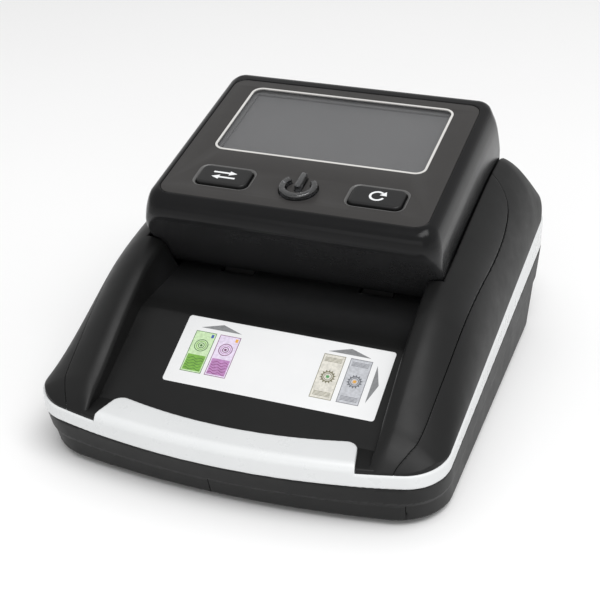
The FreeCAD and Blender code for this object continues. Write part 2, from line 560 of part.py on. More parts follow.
def power_form(g, w0, w1):
    """Ring open at the top with a bar in the gap, grown by g."""
    r = cyl(POW_R + g, w1 - w0, (0, POW_V, w0)).cut(cyl(POW_R - POW_T - g, w1 - w0 + 2, (0, POW_V, w0 - 1)))
    a = math.radians(36)
    k = 20.0
    # the gap's sides are parallel to its edges, moved by g
    wedge = prism_z([(0, POW_V + (g / math.sin(a))), (k * math.sin(a), POW_V + g / math.sin(a) + k * math.cos(a)),
                     (-k * math.sin(a), POW_V + g / math.sin(a) + k * math.cos(a))], w0 - 1, w1 + 1)
    r = r.cut(wedge)
    bar = rrect(-1.15 - g, 1.15 + g, POW_V - 1.4 - g, POW_V + 7.6 + g, w0, w1, 1.1)
    return r, bar


rr_, bb_ = power_form(0.3, -3.0, 2.0)
plate = plate.cut(on_panel(rr_)).cut(on_panel(bb_))
export("face_plate", plate.removeSplitter())
frame = rrect(-WIN_HW, WIN_HW, 0, WIN_L, -0.6, -0.04, FR).cut(
    rrect(-WIN_HW + WIN_LINE, WIN_HW - WIN_LINE, WIN_LINE, WIN_L - WIN_LINE, -2, 2, FR - WIN_LINE))
export("window_frame", on_panel(frame))
lens = rrect(-WIN_HW + WIN_LINE + 0.05, WIN_HW - WIN_LINE - 0.05, WIN_LINE + 0.05, WIN_L - WIN_LINE - 0.05, -1.46, -0.1, FR - WIN_LINE)
export("lcd_lens", on_panel(lens))
lcd = box(-43.0, 43.0, -1.2, 47.4, -7.2, -2.0)
lcd = lcd.cut(box(-39.6, 39.6, 2.2, 44.6, -2.8, 0))
export("lcd_module", on_panel(lcd))
pcb = box(-45.4, 45.4, -27.4, 47.2, -10.4, -8.8)
export("display_board", on_panel(pcb.fuse(box(-20, 20, 10, 22, -13.0, -10.3)).removeSplitter()))
sw = [box(x - 3, x + 3, v - 3, v + 3, -8.78, -5.0).fuse(cyl(1.7, 0.5, (x, v, -5.05))).removeSplitter()
      for x, v in ((-KEY_X, KEY_V), (0, POW_V), (KEY_X, KEY_V))]
export("tact_switches", on_panel(group(*sw)))


def key(x):
    k = rrect(x - KEY_W / 2, x + KEY_W / 2, KEY_V - KEY_L / 2, KEY_V + KEY_L / 2, -2.2, 0.75, 2.3)
    es = [e for e in k.Edges if all(abs(v.Z - 0.75) < 1e-6 for v in e.Vertexes)]
    k = k.makeFillet(0.55, es)
    k = k.fuse(rrect(x - KEY_W / 2 - 0.9, x + KEY_W / 2 + 0.9, KEY_V - KEY_L / 2 - 0.9, KEY_V + KEY_L / 2 + 0.9, -3.3, -1.75, 3.0))
    k = k.fuse(cyl(2.2, 0.6, (x, KEY_V, -3.7)))
    return on_panel(k.removeSplitter())


export("key_left", key(-KEY_X))
export("key_right", key(KEY_X))
ra, ba = power_form(0.0, -2.2, 1.9)
pk = ra.fuse(ba).fuse(cyl(POW_R + 1.3, 1.4, (0, POW_V, -3.3))).fuse(cyl(2.2, 0.6, (0, POW_V, -3.7)))
export("power_key", on_panel(pk.removeSplitter()))

# ---------------------------------------------------------------- drive
def roller_set(y):
    return group(*[ring_x(ROLL_R, SHAFT_R + 0.01, x - ROLL_W / 2, x + ROLL_W / 2, y, SHAFT_Z) for x in (-ROLL_X, ROLL_X)])


def pulley(r, bore, x0, x1, y, z):
    p = cyl_x(r, x0, x1, y, z).fuse(cyl_x(r + 1.4, x0, x0 + 0.5, y, z)).fuse(cyl_x(r + 1.4, x1 - 0.5, x1, y, z))
    return p.cut(cyl_x(bore, x0 - 1, x1 + 1, y, z)).removeSplitter()


def belt(y1, z1, r1, y2, z2, r2, x0, x1):
    def loop(g):
        a1, a2 = r1 + g, r2 + g
        d = math.hypot(y2 - y1, z2 - z1)
        base = math.atan2(z2 - z1, y2 - y1)
        off = math.acos((a1 - a2) / d)
        q = lambda y, z, r, t: (y + r * math.cos(t), z + r * math.sin(t))
        quad = prism_x([q(y1, z1, a1, base + off), q(y2, z2, a2, base + off), q(y2, z2, a2, base - off),
                        q(y1, z1, a1, base - off)], x0, x1)
        return fuse(quad, cyl_x(a1, x0, x1, y1, z1), cyl_x(a2, x0, x1, y2, z2))
    return loop(0.08 + BELT_T).cut(loop(0.08))


XB1, XB2 = (46.8, 51.2), (51.8, 56.2)
for nm, y in (("front", FRONT_Y), ("rear", BACK_Y)):
    export("%s_drive_shaft" % nm, cyl_x(SHAFT_R, -47.0, 56.6 if nm == "front" else 56.6, y, SHAFT_Z))
    export("%s_drive_rollers" % nm, roller_set(y))
    ps = cyl_x(PINCH_SHAFT_R, -43.8, 43.8, y, PINCH_Z)
    export("%s_pinch_shaft" % nm, ps)
    export("%s_pinch_rollers" % nm, group(*[ring_x(PINCH_R, PINCH_SHAFT_R + 0.01, x - 5, x + 5, y, PINCH_Z) for x in (-ROLL_X, ROLL_X)]))
export("front_pulleys", group(pulley(PULLEY_R, SHAFT_R + 0.01, XB1[0], XB1[1], FRONT_Y, SHAFT_Z),
                              pulley(PULLEY_R, SHAFT_R + 0.01, XB2[0], XB2[1], FRONT_Y, SHAFT_Z)))
export("rear_pulley", pulley(PULLEY_R, SHAFT_R + 0.01, XB2[0], XB2[1], BACK_Y, SHAFT_Z))
export("motor_pulley", pulley(MOTOR_PULLEY_R, 1.21, XB1[0], XB1[1], MOTOR_Y, MOTOR_Z))
export("motor_shaft", cyl_x(1.2, 43.6, XB1[1] + 0.3, MOTOR_Y, MOTOR_Z))
export("motor_belt", belt(MOTOR_Y, MOTOR_Z, MOTOR_PULLEY_R, FRONT_Y, SHAFT_Z, PULLEY_R, XB1[0] + 0.8, XB1[1] - 0.8))
export("shaft_belt", belt(FRONT_Y, SHAFT_Z, PULLEY_R, BACK_Y, SHAFT_Z, PULLEY_R, XB2[0] + 0.8, XB2[1] - 0.8))
mot = cyl_x(MOTOR_R, 12.0, 42.9, MOTOR_Y, MOTOR_Z).fuse(cyl_x(4.0, 9.6, 12.0, MOTOR_Y, MOTOR_Z))
mot = mot.cut(cyl_x(1.26, 43.0 - 2, 50, MOTOR_Y, MOTOR_Z)).fuse(cyl_x(3.0, 42.9, 45.0, MOTOR_Y, MOTOR_Z).cut(cyl_x(1.26, 40, 50, MOTOR_Y, MOTOR_Z)))
export("drive_motor", mot.removeSplitter())
UZ = FLOOR_Z - FLOOR_T - 0.05
pl = prism_x([(88, 23), (150, 23), (150, UZ), (88, UZ)], 43.0, 45.0)
fl = box(36.5, 43.0, 108, 128, UZ - 1.6, UZ).cut(box(-SENS_HW - 3, SENS_HW + 3, SENS_Y - 7.2, SENS_Y + 7.2, 30, 50))
lobe = prism_x([(56, 17), (60, 5), (78, 5), (96, 23), (96, UZ), (88, UZ)], 43.0, 45.0)
right = fuse(pl, lobe, fl).cut(cyl_x(3.2, 40, 50, MOTOR_Y, MOTOR_Z))
left = fuse(mirror(pl), mirror(fl))
bush = []
for y in (FRONT_Y, BACK_Y):
    right = right.cut(cyl_x(5.0, 40, 50, y, SHAFT_Z))
    left = left.cut(cyl_x(5.0, -50, -40, y, SHAFT_Z))
    b = ring_x(5.0, SHAFT_R + 0.04, 42.0, 45.6, y, SHAFT_Z).fuse(ring_x(6.4, SHAFT_R + 0.04, 41.2, 42.9, y, SHAFT_Z)).removeSplitter()
    bush += [b, mirror(b)]
export("side_plate_right", right.removeSplitter())
export("side_plate_left", left.removeSplitter())
export("shaft_bushes", group(*bush))
sp_ = []
for y in (FRONT_Y, BACK_Y):
    for sgn in (-1, 1):
        x0, x1 = sorted((sgn * 36.0, sgn * 40.3))
        sp_.append(box(x0, x1, y - 1.6, y + 12.0, PINCH_Z + PINCH_SHAFT_R + 0.3, PINCH_Z + PINCH_SHAFT_R + 0.7).fuse(
            box(x0, x1, y + 11.6, y + 12.0, G1, PINCH_Z + PINCH_SHAFT_R + 0.5)).removeSplitter())
export("pinch_springs", group(*sp_))
export("lower_window", box(-SENS_HW + 0.15, SENS_HW - 0.15, SENS_Y - 4.35, SENS_Y + 4.35, FLOOR_Z - FLOOR_T + 0.02, FLOOR_Z - 0.05))
export("lower_sensor_board", box(-41.0, 41.0, 112.5, 125.5, 33.0, 34.6).fuse(
    group(*[box(x - 2, x + 2, 117.2, 120.8, 34.5, 36.6) for x in (-30, -10, 10, 30)])).removeSplitter())

# ---------------------------------------------------------------- electronics
mb = box(PCB[0], PCB[1], PCB[2], PCB[3], PCB[4] + 0.02, PCB[4] + 1.6)
for x, y in PCB_HOLES:
    mb = mb.cut(cyl(1.6, 6, (x, y, PCB[4] - 2)))
mb = mb.fuse(group(box(-20, -4, 110, 126, PCB[4] + 1.5, PCB[4] + 3.2), box(10, 22, 112, 120, PCB[4] + 1.5, PCB[4] + 3.4),
                   box(-38, -30, 98, 122, PCB[4] + 1.5, PCB[4] + 8.0))).removeSplitter()
export("main_board", mb)
export("board_screws", group(*[cyl(2.6, 1.6, (x, y, PCB[4] + 1.62)).fuse(cyl(1.2, 6.0, (x, y, PCB[4] - 4.3))).removeSplitter()
                               for x, y in PCB_HOLES]))
export("buzzer", cyl(6.0, 8.5, (26, 140, PCB[4] + 1.62)).cut(cyl(1.0, 3, (26, 140, PCB[4] + 8.0))))
jk = cyl(4.2, 12.0, (JACK[0], 158.4, JACK[1]), (0, 1, 0)).fuse(cyl(5.2, 1.2, (JACK[0], 169.05, JACK[1]), (0, 1, 0)))
jk = jk.cut(cyl(2.9, 10.0, (JACK[0], 161.0, JACK[1]), (0, 1, 0))).fuse(cyl(1.0, 8.5, (JACK[0], 160.5, JACK[1]), (0, 1, 0)))
export("dc_inlet", jk.removeSplitter())
pt = box(PORT[0] - 4.1, PORT[0] + 4.1, 160.0, 169.6, PORT[1] - 2.3, PORT[1] + 2.3).cut(
    box(PORT[0] - 3.5, PORT[0] + 3.5, 163.0, 175.0, PORT[1] - 1.7, PORT[1] + 1.7)).fuse(
    box(PORT[0] - 2.4, PORT[0] + 2.4, 162.0, 168.6, PORT[1] - 0.4, PORT[1] + 0.4))
export("update_port", pt.removeSplitter())
export("battery_pack", rrect(-3.7, 46.7, 16.6, 50.8, 3.3, 17.0, 3.0))
print("files", len(made))
bb = Part.makeCompound(list(made.values())).BoundBox
print("box x %.2f..%.2f y %.2f..%.2f z %.2f..%.2f" % (bb.XMin, bb.XMax, bb.YMin, bb.YMax, bb.ZMin, bb.ZMax))
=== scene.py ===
# Looks of the banknote detector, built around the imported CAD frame.
import bpy, bmesh, json, math
import numpy as np
from mathutils import Matrix, Vector


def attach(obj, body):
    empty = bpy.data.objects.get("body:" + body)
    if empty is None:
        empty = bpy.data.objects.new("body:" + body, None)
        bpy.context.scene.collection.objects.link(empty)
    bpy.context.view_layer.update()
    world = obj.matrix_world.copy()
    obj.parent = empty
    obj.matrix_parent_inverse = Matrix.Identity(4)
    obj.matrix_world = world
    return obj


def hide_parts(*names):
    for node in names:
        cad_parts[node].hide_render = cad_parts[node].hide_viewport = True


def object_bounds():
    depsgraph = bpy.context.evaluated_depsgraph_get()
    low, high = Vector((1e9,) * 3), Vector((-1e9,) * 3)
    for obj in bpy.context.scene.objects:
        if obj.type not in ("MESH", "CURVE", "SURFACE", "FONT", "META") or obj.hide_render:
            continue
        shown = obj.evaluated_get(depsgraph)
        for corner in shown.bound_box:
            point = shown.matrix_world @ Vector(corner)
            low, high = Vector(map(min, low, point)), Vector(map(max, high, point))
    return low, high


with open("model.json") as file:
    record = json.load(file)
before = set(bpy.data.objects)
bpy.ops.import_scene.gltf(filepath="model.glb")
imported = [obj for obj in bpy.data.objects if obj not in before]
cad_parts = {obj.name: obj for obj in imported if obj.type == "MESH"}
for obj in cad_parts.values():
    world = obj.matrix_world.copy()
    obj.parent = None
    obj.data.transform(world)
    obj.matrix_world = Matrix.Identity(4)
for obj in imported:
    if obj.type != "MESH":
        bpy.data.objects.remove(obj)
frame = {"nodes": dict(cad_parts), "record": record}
cad_lo, cad_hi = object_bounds()
nodes = frame["nodes"]

# ------------------------------------------------------------------ layout
# Lengths are in millimetres in the layout frame of the case: x to the right, y to the
# back from the front of the white band, z up from the underside. MOVE takes a point
# of that frame to the row frame, and everything is turned into metres at the end.
MOVE = np.array([0.0, -93.6, 2.0])
WALL, GAP = 2.4, 0.09
TRIM = (75.0, 10.9, 16.0, 0.2, 187.0, 14.0, 3.0)
CASE_HW, CASE_Y0 = 74.4, 0.7
STEP, LOW, UP = (8.0, 0.0625), (16.14, 0.082), (20.95, 0.125)
WALL_X, VALLEY_X = 51.2, 57.2
RAMP_Y, RAMP_Z, RAMP_S, CREST_Y, FLOOR_Z, FLOOR_T = 18.2, 23.9, 0.48, 53.4, 41.0, 2.2
TILT, PANEL_Y, PANEL_Z = math.radians(10.946), 102.015, 86.40
CT, SN = math.cos(TILT), math.sin(TILT)
HINGE_Y, HINGE_Z = 156.0, 53.0
ROLL_X, ROLL_W, FRONT_Y, BACK_Y = 28.0, 12.0, 98.0, 140.0
KEY_X, KEY_V, KEY_W, KEY_L = 29.35, -17.7, 19.6, 11.0
POW_V, POW_R, POW_T = -19.0, 7.1, 2.4


def panel_pt(p):
    """Points (u, v, w) of the head's panel in the layout frame."""
    p = np.asarray(p, float)
    return np.stack([p[..., 0], PANEL_Y + p[..., 1] * CT - p[..., 2] * SN,
                     PANEL_Z + p[..., 1] * SN + p[..., 2] * CT], -1)


def panel_uvw(x, y, z):
    dy, dz = y - PANEL_Y, z - PANEL_Z
    return x, dy * CT + dz * SN, -dy * SN + dz * CT


def pchip(pts):
    x = np.array([p[0] for p in pts], float)
    y = np.array([p[1] for p in pts], float)
    h = np.diff(x)
    d = np.diff(y) / h
    m = np.zeros(len(x))
    m[0], m[-1] = d[0], d[-1]
    for i in range(1, len(x) - 1):
        if d[i - 1] * d[i] > 0:
            w1, w2 = 2 * h[i] + h[i - 1], h[i] + 2 * h[i - 1]
            m[i] = (w1 + w2) / (w1 / d[i - 1] + w2 / d[i])

    def f(q):
        q = np.asarray(q, float)
        i = np.clip(np.searchsorted(x, q) - 1, 0, len(h) - 1)
        t = (q - x[i]) / h[i]
        v = ((2 * t ** 3 - 3 * t ** 2 + 1) * y[i] + (t ** 3 - 2 * t ** 2 + t) * h[i] * m[i]
             + (-2 * t ** 3 + 3 * t ** 2) * y[i + 1] + (t ** 3 - t ** 2) * h[i] * m[i + 1])
        v = np.where(q < x[0], y[0] + m[0] * (q - x[0]), v)
        return np.where(q > x[-1], y[-1] + m[-1] * (q - x[-1]), v)
    return f


ridge = pchip([(-6, 21.4), (0, 22.0), (6, 24.6), (10, 27.4), (14, 29.5), (20, 32.7), (30, 38.9),
               (40, 45.0), (50, 50.5), (60, 55.2), (70, 58.5), (76, 59.8), (90, 62.0), (105, 64.8),
               (120, 67.3), (135, 69.5), (150, 71.2), (160, 71.5), (168, 69.6), (175, 64.8),
               (181, 57.5), (186, 49.5), (190, 46.5)])
power = pchip([(0, 1.25), (25, 1.36), (40, 1.52), (55, 1.68), (70, 1.83), (86, 1.88), (105, 1.75), (130, 1.7), (158, 1.74), (172, 1.66), (186, 1.55)])
seam_f = pchip([(-4, 56.4), (8, 59.6), (12.9, 62.3), (18.5, 64.6), (35, 66.0), (54, 67.1), (81.5, 68.05), (110, 68.66),
                (120, 68.5), (130, 67.8), (135, 67.1), (139, 65.9), (142, 63.9), (144.1, 61.6), (146.4, 58.8),
                (148.3, 56.2), (150.5, 52.6)])
LEAN = ((66.3, 71.9), (84.5, 45.9))
_l = math.hypot(LEAN[1][0] - LEAN[0][0], LEAN[1][1] - LEAN[0][1])
LDY, LDZ = (LEAN[1][0] - LEAN[0][0]) / _l, (LEAN[1][1] - LEAN[0][1]) / _l


# ------------------------------------------------------------------ fields
def smax(a, b, r):
    return np.minimum(-r, np.maximum(a, b)) + np.sqrt(np.maximum(r + a, 0) ** 2 + np.maximum(r + b, 0) ** 2)


def smin(a, b, r):
    return -smax(-a, -b, r)


def ibox(x, y, z, x0, x1, y0, y1, z0, z1):
    return np.maximum(np.maximum(np.maximum(x0 - x, x - x1), np.maximum(y0 - y, y - y1)), np.maximum(z0 - z, z - z1))


def rrect2(x, y, x0, x1, y0, y1, r):
    qx = np.abs(x - (x0 + x1) / 2) - (x1 - x0) / 2 + r
    qy = np.abs(y - (y0 + y1) / 2) - (y1 - y0) / 2 + r
    return np.hypot(np.maximum(qx, 0), np.maximum(qy, 0)) + np.minimum(np.maximum(qx, qy), 0) - r


def outline2(x, y, hw, sag, rc, y0, yr, rcr, sagr):
    """Distance to a plan outline with bowed front and rear and round corners."""
    x = np.abs(x)
    rf = (hw * hw + sag * sag) / (2 * sag)
    cy = y0 + rf
    yc = cy - np.sqrt((rf - rc) ** 2 - (hw - rc) ** 2)
    dx, dy = (hw - rc) / (rf - rc), (yc - cy) / (rf - rc)
    front = np.hypot(x, y - cy) - rf
    rr = (hw * hw + sagr * sagr) / (2 * sagr)
    cyr = yr - rr
    ycr = cyr + np.sqrt((rr - rcr) ** 2 - (hw - rcr) ** 2)
    ex, ey = (hw - rcr) / (rr - rcr), (ycr - cyr) / (rr - rcr)
    rear = np.hypot(x, y - cyr) - rr
    d = np.maximum(x - hw, np.where(y < (y0 + yr) / 2, front, rear))
    vx, vy = x - (hw - rc), y - yc
    d = np.where((vy < 0) & (dx * vy - dy * vx > 0), np.hypot(vx, vy) - rc, d)
    vx, vy = x - (hw - rcr), y - ycr
    return np.where((vy > 0) & (ex * vy - ey * vx < 0), np.hypot(vx, vy) - rcr, d)


def plan2(x, y, o, hw=CASE_HW, y0=CASE_Y0, yr=186.6):
    return outline2(x, y, hw - o, TRIM[1], max(TRIM[2] - o, 3), y0 + o, yr - o, TRIM[5] - o, TRIM[6])


def plane(y, z, p):
    """Above the plane z = p0 + p1 * y is positive."""
    return (z - p[0] - p[1] * y) / math.hypot(1, p[1])


def convex2(pts, a, b):
    """Distance to a convex closed polygon given anticlockwise, seen with a to the right and b up."""
    out = np.full(np.broadcast(a, b).shape, -1e9)
    n = len(pts)
    for i in range(n):
        (a0, b0), (a1, b1) = pts[i], pts[(i + 1) % n]
        l = math.hypot(a1 - a0, b1 - b0)
        if l < 1e-6:
            continue
        out = np.maximum(out, ((a - a0) * (b1 - b0) - (b - b0) * (a1 - a0)) / l)
    return out


def contour(name, fn, lo, hi, vox, to=None, extra=None):
    """Closed mesh of fn(x, y, z) = 0, sampled on a grid in millimetres, with sharp edges kept."""
    lo, hi = np.array(lo, float), np.array(hi, float)
    k = 6
    n = (np.ceil((hi - lo) / (vox * k)).astype(int) + 1)
    step = vox * k
    cs = [lo[i] + step * (np.arange(n[i]) + 0.5) for i in range(3)]
    X, Y, Z = np.meshgrid(*cs, indexing="ij")
    C = fn(X.ravel(), Y.ravel(), Z.ravel()).reshape(X.shape)
    near = np.abs(C) < step * 1.45
    F = np.repeat(np.repeat(np.repeat(C.astype(np.float32), k, 0), k, 1), k, 2)
    bi = np.argwhere(near)
    off = np.stack(np.meshgrid(*[np.arange(k)] * 3, indexing="ij"), -1).reshape(-1, 3)
    for s in range(0, len(bi), 4000):
        idx = (bi[s:s + 4000, None, :] * k + off[None]).reshape(-1, 3)
        p = lo + idx * vox
        F[idx[:, 0], idx[:, 1], idx[:, 2]] = fn(p[:, 0], p[:, 1], p[:, 2])
    S = F < 0
    pts, nrm, cell_edges = [], [], []
    quads = []
    sh = np.array(S.shape)
    cid = {}
    acc = []
    for ax in range(3):
        sl0 = [slice(None)] * 3
        sl1 = [slice(None)] * 3
        sl0[ax], sl1[ax] = slice(0, -1), slice(1, None)
        ed = np.argwhere(S[tuple(sl0)] != S[tuple(sl1)])
        a = lo + ed * vox
        b = a.copy()
        b[:, ax] += vox
        fa = fn(a[:, 0], a[:, 1], a[:, 2])
        fb = fn(b[:, 0], b[:, 1], b[:, 2])
        for _ in range(4):
            t = np.clip(fa / (fa - fb + 1e-30), 0.02, 0.98)
            m = a + (b - a) * t[:, None]
            fm = fn(m[:, 0], m[:, 1], m[:, 2])
            same = (fm < 0) == (fa < 0)
            a = np.where(same[:, None], m, a)
            fa = np.where(same, fm, fa)
            b = np.where(same[:, None], b, m)
            fb = np.where(same, fb, fm)
        t = np.clip(fa / (fa - fb + 1e-30), 0, 1)
        p = a + (b - a) * t[:, None]
        e = 0.02
        g = np.stack([fn(p[:, 0] + e * (i == 0), p[:, 1] + e * (i == 1), p[:, 2] + e * (i == 2))
                      - fn(p[:, 0] - e * (i == 0), p[:, 1] - e * (i == 1), p[:, 2] - e * (i == 2)) for i in range(3)], -1)
        g /= np.linalg.norm(g, axis=1, keepdims=True) + 1e-12
        o1, o2 = [i for i in range(3) if i != ax]
        cells = []
        for d1, d2 in ((-1, -1), (0, -1), (0, 0), (-1, 0)):
            c = ed.copy()
            c[:, o1] += d1
            c[:, o2] += d2
            cells.append((c[:, 0] * sh[1] + c[:, 1]) * sh[2] + c[:, 2])
        cells = np.stack(cells, 1)
        flip = (fn(lo[0] + ed[:, 0] * vox, lo[1] + ed[:, 1] * vox, lo[2] + ed[:, 2] * vox) < 0) ^ (ax == 1)
        q = np.where(flip[:, None], cells, cells[:, ::-1])
        quads.append(q)
        acc.append((cells, p, g))
    Q = np.concatenate(quads)
    ids, inv = np.unique(Q, return_inverse=True)
    Q = inv.reshape(-1, 4)
    nc = len(ids)
    mass, cnt = np.zeros((nc, 3)), np.zeros(nc)
    for cells, p, g in acc:
        ci = np.searchsorted(ids, cells)
        for j in range(4):
            np.add.at(mass, ci[:, j], p)
            np.add.at(cnt, ci[:, j], 1)
    mass /= cnt[:, None]
    A, B = np.zeros((nc, 3, 3)), np.zeros((nc, 3))
    for cells, p, g in acc:
        ci = np.searchsorted(ids, cells)
        gg = g[:, :, None] * g[:, None, :]
        for j in range(4):
            np.add.at(A, ci[:, j], gg)
            np.add.at(B, ci[:, j], g * np.sum(g * (p - mass[ci[:, j]]), 1)[:, None])
    A += np.eye(3) * 0.03
    x = np.linalg.solve(A, B[:, :, None])[:, :, 0]
    ln = np.linalg.norm(x, axis=1, keepdims=True)
    x *= np.minimum(1, vox * 0.8 / (ln + 1e-12))
    G = mass + x
    ob = make(name, G if to is None else to(G), Q, 32)
    even(ob.data, G, fn, to)
    return ob


def slope(fn, p, to, e=0.02):
    """Unit normals of fn's surfaces at grid points p, in the layout frame."""
    ax = np.eye(3) * e
    g = np.stack([fn(*(p + a).T) - fn(*(p - a).T) for a in ax], -1)
    if to is not None:
        J = np.stack([(to(p + a) - to(p - a)) / (2 * e) for a in ax], -1)
        g = np.linalg.solve(np.swapaxes(J, 1, 2), g[:, :, None])[:, :, 0]
    return g / (np.linalg.norm(g, axis=1, keepdims=True) + 1e-12)


def even(me, G, fn, to):
    """Shade a contoured mesh with its field's own normals, so that fillets and flats are smooth."""
    nl, nf = len(me.loops), len(me.polygons)
    lv, st, ct = np.zeros(nl, int), np.zeros(nf, int), np.zeros(nf, int)
    me.loops.foreach_get("vertex_index", lv)
    me.polygons.foreach_get("loop_start", st)
    me.polygons.foreach_get("loop_total", ct)
    pn = np.zeros(nf * 3)
    me.polygons.foreach_get("normal", pn)
    pn = pn.reshape(-1, 3)
    lf = np.repeat(np.arange(nf), ct)
    mid = np.add.reduceat(G[lv], st, axis=0) / ct[:, None]
    n = slope(fn, G, to)[lv]
    fnm = pn[lf]
    bad = np.sum(n * fnm, 1) < 0.87
    if bad.any():
        q = G[lv[bad]] * 0.6 + mid[lf[bad]] * 0.4
        m = slope(fn, q, to)
        off = np.sum(m * fnm[bad], 1) < np.sum(n[bad] * fnm[bad], 1)
        m[off] = n[bad][off]
        n[bad] = m
    me.normals_split_custom_set(n.tolist())


def make(name, P, faces, angle=35, mats=None):
    me = bpy.data.meshes.new(name)
    P = np.clip((np.asarray(P, float) + MOVE) * 0.001, cad_lo, cad_hi)
    me.from_pydata(P.tolist(), [], [list(map(int, f)) for f in faces])
    me.validate()
    me.update()
    bm = bmesh.new()
    bm.from_mesh(me)
    bmesh.ops.recalc_face_normals(bm, faces=bm.faces)
    for f in bm.faces:
        f.smooth = True
    lim = math.radians(angle)
    for e in bm.edges:
        e.smooth = not (len(e.link_faces) == 2 and e.calc_face_angle(0) > lim)
    bm.to_mesh(me)
    bm.free()
    ob = bpy.data.objects.new(name, me)
    bpy.context.scene.collection.objects.link(ob)
    return ob


def rr_loop(x0, x1, y0, y1, r, n=7):
    out = []
    for cx, cy, a0 in ((x1 - r, y1 - r, 0), (x0 + r, y1 - r, 90), (x0 + r, y0 + r, 180), (x1 - r, y0 + r, 270)):
        for i in range(n):
            a = math.radians(a0 + 90.0 * i / (n - 1))
            out.append((cx + r * math.cos(a), cy + r * math.sin(a)))
    return out


def oval(cx, cy, rx, ry, n=40):
    return [(cx + rx * math.cos(2 * math.pi * i / n), cy + ry * math.sin(2 * math.pi * i / n)) for i in range(n)]


def rect(x0, x1, y0, y1):
    return [(x0, y0), (x1, y0), (x1, y1), (x0, y1)]


def flat(name, loops, w0, w1, to, bevel=0.0, angle=30):
    """Plate of the given thickness between outlines, inner outlines being holes, with rounded edges."""
    cu = bpy.data.curves.new(name, "CURVE")
    cu.dimensions, cu.fill_mode = "2D", "BOTH"
    cu.extrude, cu.bevel_depth, cu.bevel_resolution, cu.offset = (w1 - w0) / 2 - bevel, bevel, 2, -bevel
    for lp in loops:
        sp = cu.splines.new("POLY")
        sp.points.add(len(lp) - 1)
        for q, (a, b) in zip(sp.points, lp):
            q.co = (a, b, 0, 1)
        sp.use_cyclic_u = True
    tmp = bpy.data.objects.new(name, cu)
    bpy.context.scene.collection.objects.link(tmp)
    me = bpy.data.meshes.new_from_object(tmp.evaluated_get(bpy.context.evaluated_depsgraph_get()))
    bpy.data.objects.remove(tmp)
    bpy.data.curves.remove(cu)
    bm = bmesh.new()
    bm.from_mesh(me)
    bmesh.ops.remove_doubles(bm, verts=bm.verts, dist=0.0005)
    bmesh.ops.dissolve_degenerate(bm, edges=bm.edges, dist=0.0002)
    bm.verts.index_update()
    P = np.array([tuple(v.co) for v in bm.verts]) + (0, 0, (w0 + w1) / 2)
    F = [[v.index for v in f.verts] for f in bm.faces]
    bm.free()
    bpy.data.meshes.remove(me)
    return make(name, to(P), F, angle)


def stack(name, rows, to, angle=35, ring=False):
    """Skin through a list of loops of equal length, closed at both ends or back to its start."""
    n = len(rows[0])
    P = np.array([q for r in rows for q in r], float)
    F = []
    k = len(rows)
    for i in range(k if ring else k - 1):
        j = (i + 1) % k
        for a in range(n):
            b = (a + 1) % n
            F.append([i * n + a, i * n + b, j * n + b, j * n + a])
    if not ring:
        F += [list(range(n))[::-1], [(k - 1) * n + a for a in range(n)]]
    return make(name, to(P), F, angle)


def joined(name, obs):
    """One piece from several meshes."""
    me = bpy.data.meshes.new(name)
    bm = bmesh.new()
    for o in obs:
        bm.from_mesh(o.data)
    bm.to_mesh(me)
    bm.free()
    for o in obs:
        old = o.data
        bpy.data.objects.remove(o)
        bpy.data.meshes.remove(old)
    ob = bpy.data.objects.new(name, me)
    bpy.context.scene.collection.objects.link(ob)
    return ob


def piece(ob, body, mat=None, reps=()):
    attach(ob, body)
    if mat is not None:
        ob.data.materials.clear()
        ob.data.materials.append(mat)
    if reps:
        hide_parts(*reps)
    return ob


# ------------------------------------------------------------------ head housing
def bez(p0, p1, p2, p3, n=14):
    t = np.linspace(0, 1, n)[:, None]
    p0, p1, p2, p3 = (np.array(p, float) for p in (p0, p1, p2, p3))
    return ((1 - t) ** 3 * p0 + 3 * t * (1 - t) ** 2 * p1 + 3 * t * t * (1 - t) * p2 + t ** 3 * p3).tolist()


def panel_z(y):
    return PANEL_Z + (y - PANEL_Y) * SN / CT


_p0 = (72.6, panel_z(72.6))
NOSE = bez(_p0, (_p0[0] - 4.5 * CT, _p0[1] - 4.5 * SN), (65.75, 76.0), (66.2, 72.5), 16) + bez((66.2, 72.5), (66.26, 72.1), (66.42, 71.72), (66.75, 71.26), 6)[1:]
_b0 = (154.8, panel_z(154.8))
BACK = bez((162.4, 89.6), (161.5, 93.6), (_b0[0] + 3.8 * CT, _b0[1] + 3.8 * SN), _b0, 12)
UPPER = [(167.4, 60.0), (166.0, 76.0)] + BACK + NOSE
HEAD_PROF = [(84.5, 45.9), (150.0, 45.9), (164.5, 49.0), (167.0, 54.0)] + UPPER
HEAD_REAR = [(-60.0, -40.0), (167.8, -40.0), (167.4, 60.0), (166.0, 76.0), (162.4, 89.6), (156.8, 110.5), (-60.0, 110.5)]
HEAD_OPEN = [(112.0, 8.0), (167.6, 8.0)] + UPPER
side_w = pchip([(-90, 56.85), (-20, 56.85), (-12, 56.6), (-8, 56.15), (-5, 55.45), (-3, 54.75), (-1.5, 54.0), (0, 53.0), (4, 49.6)])


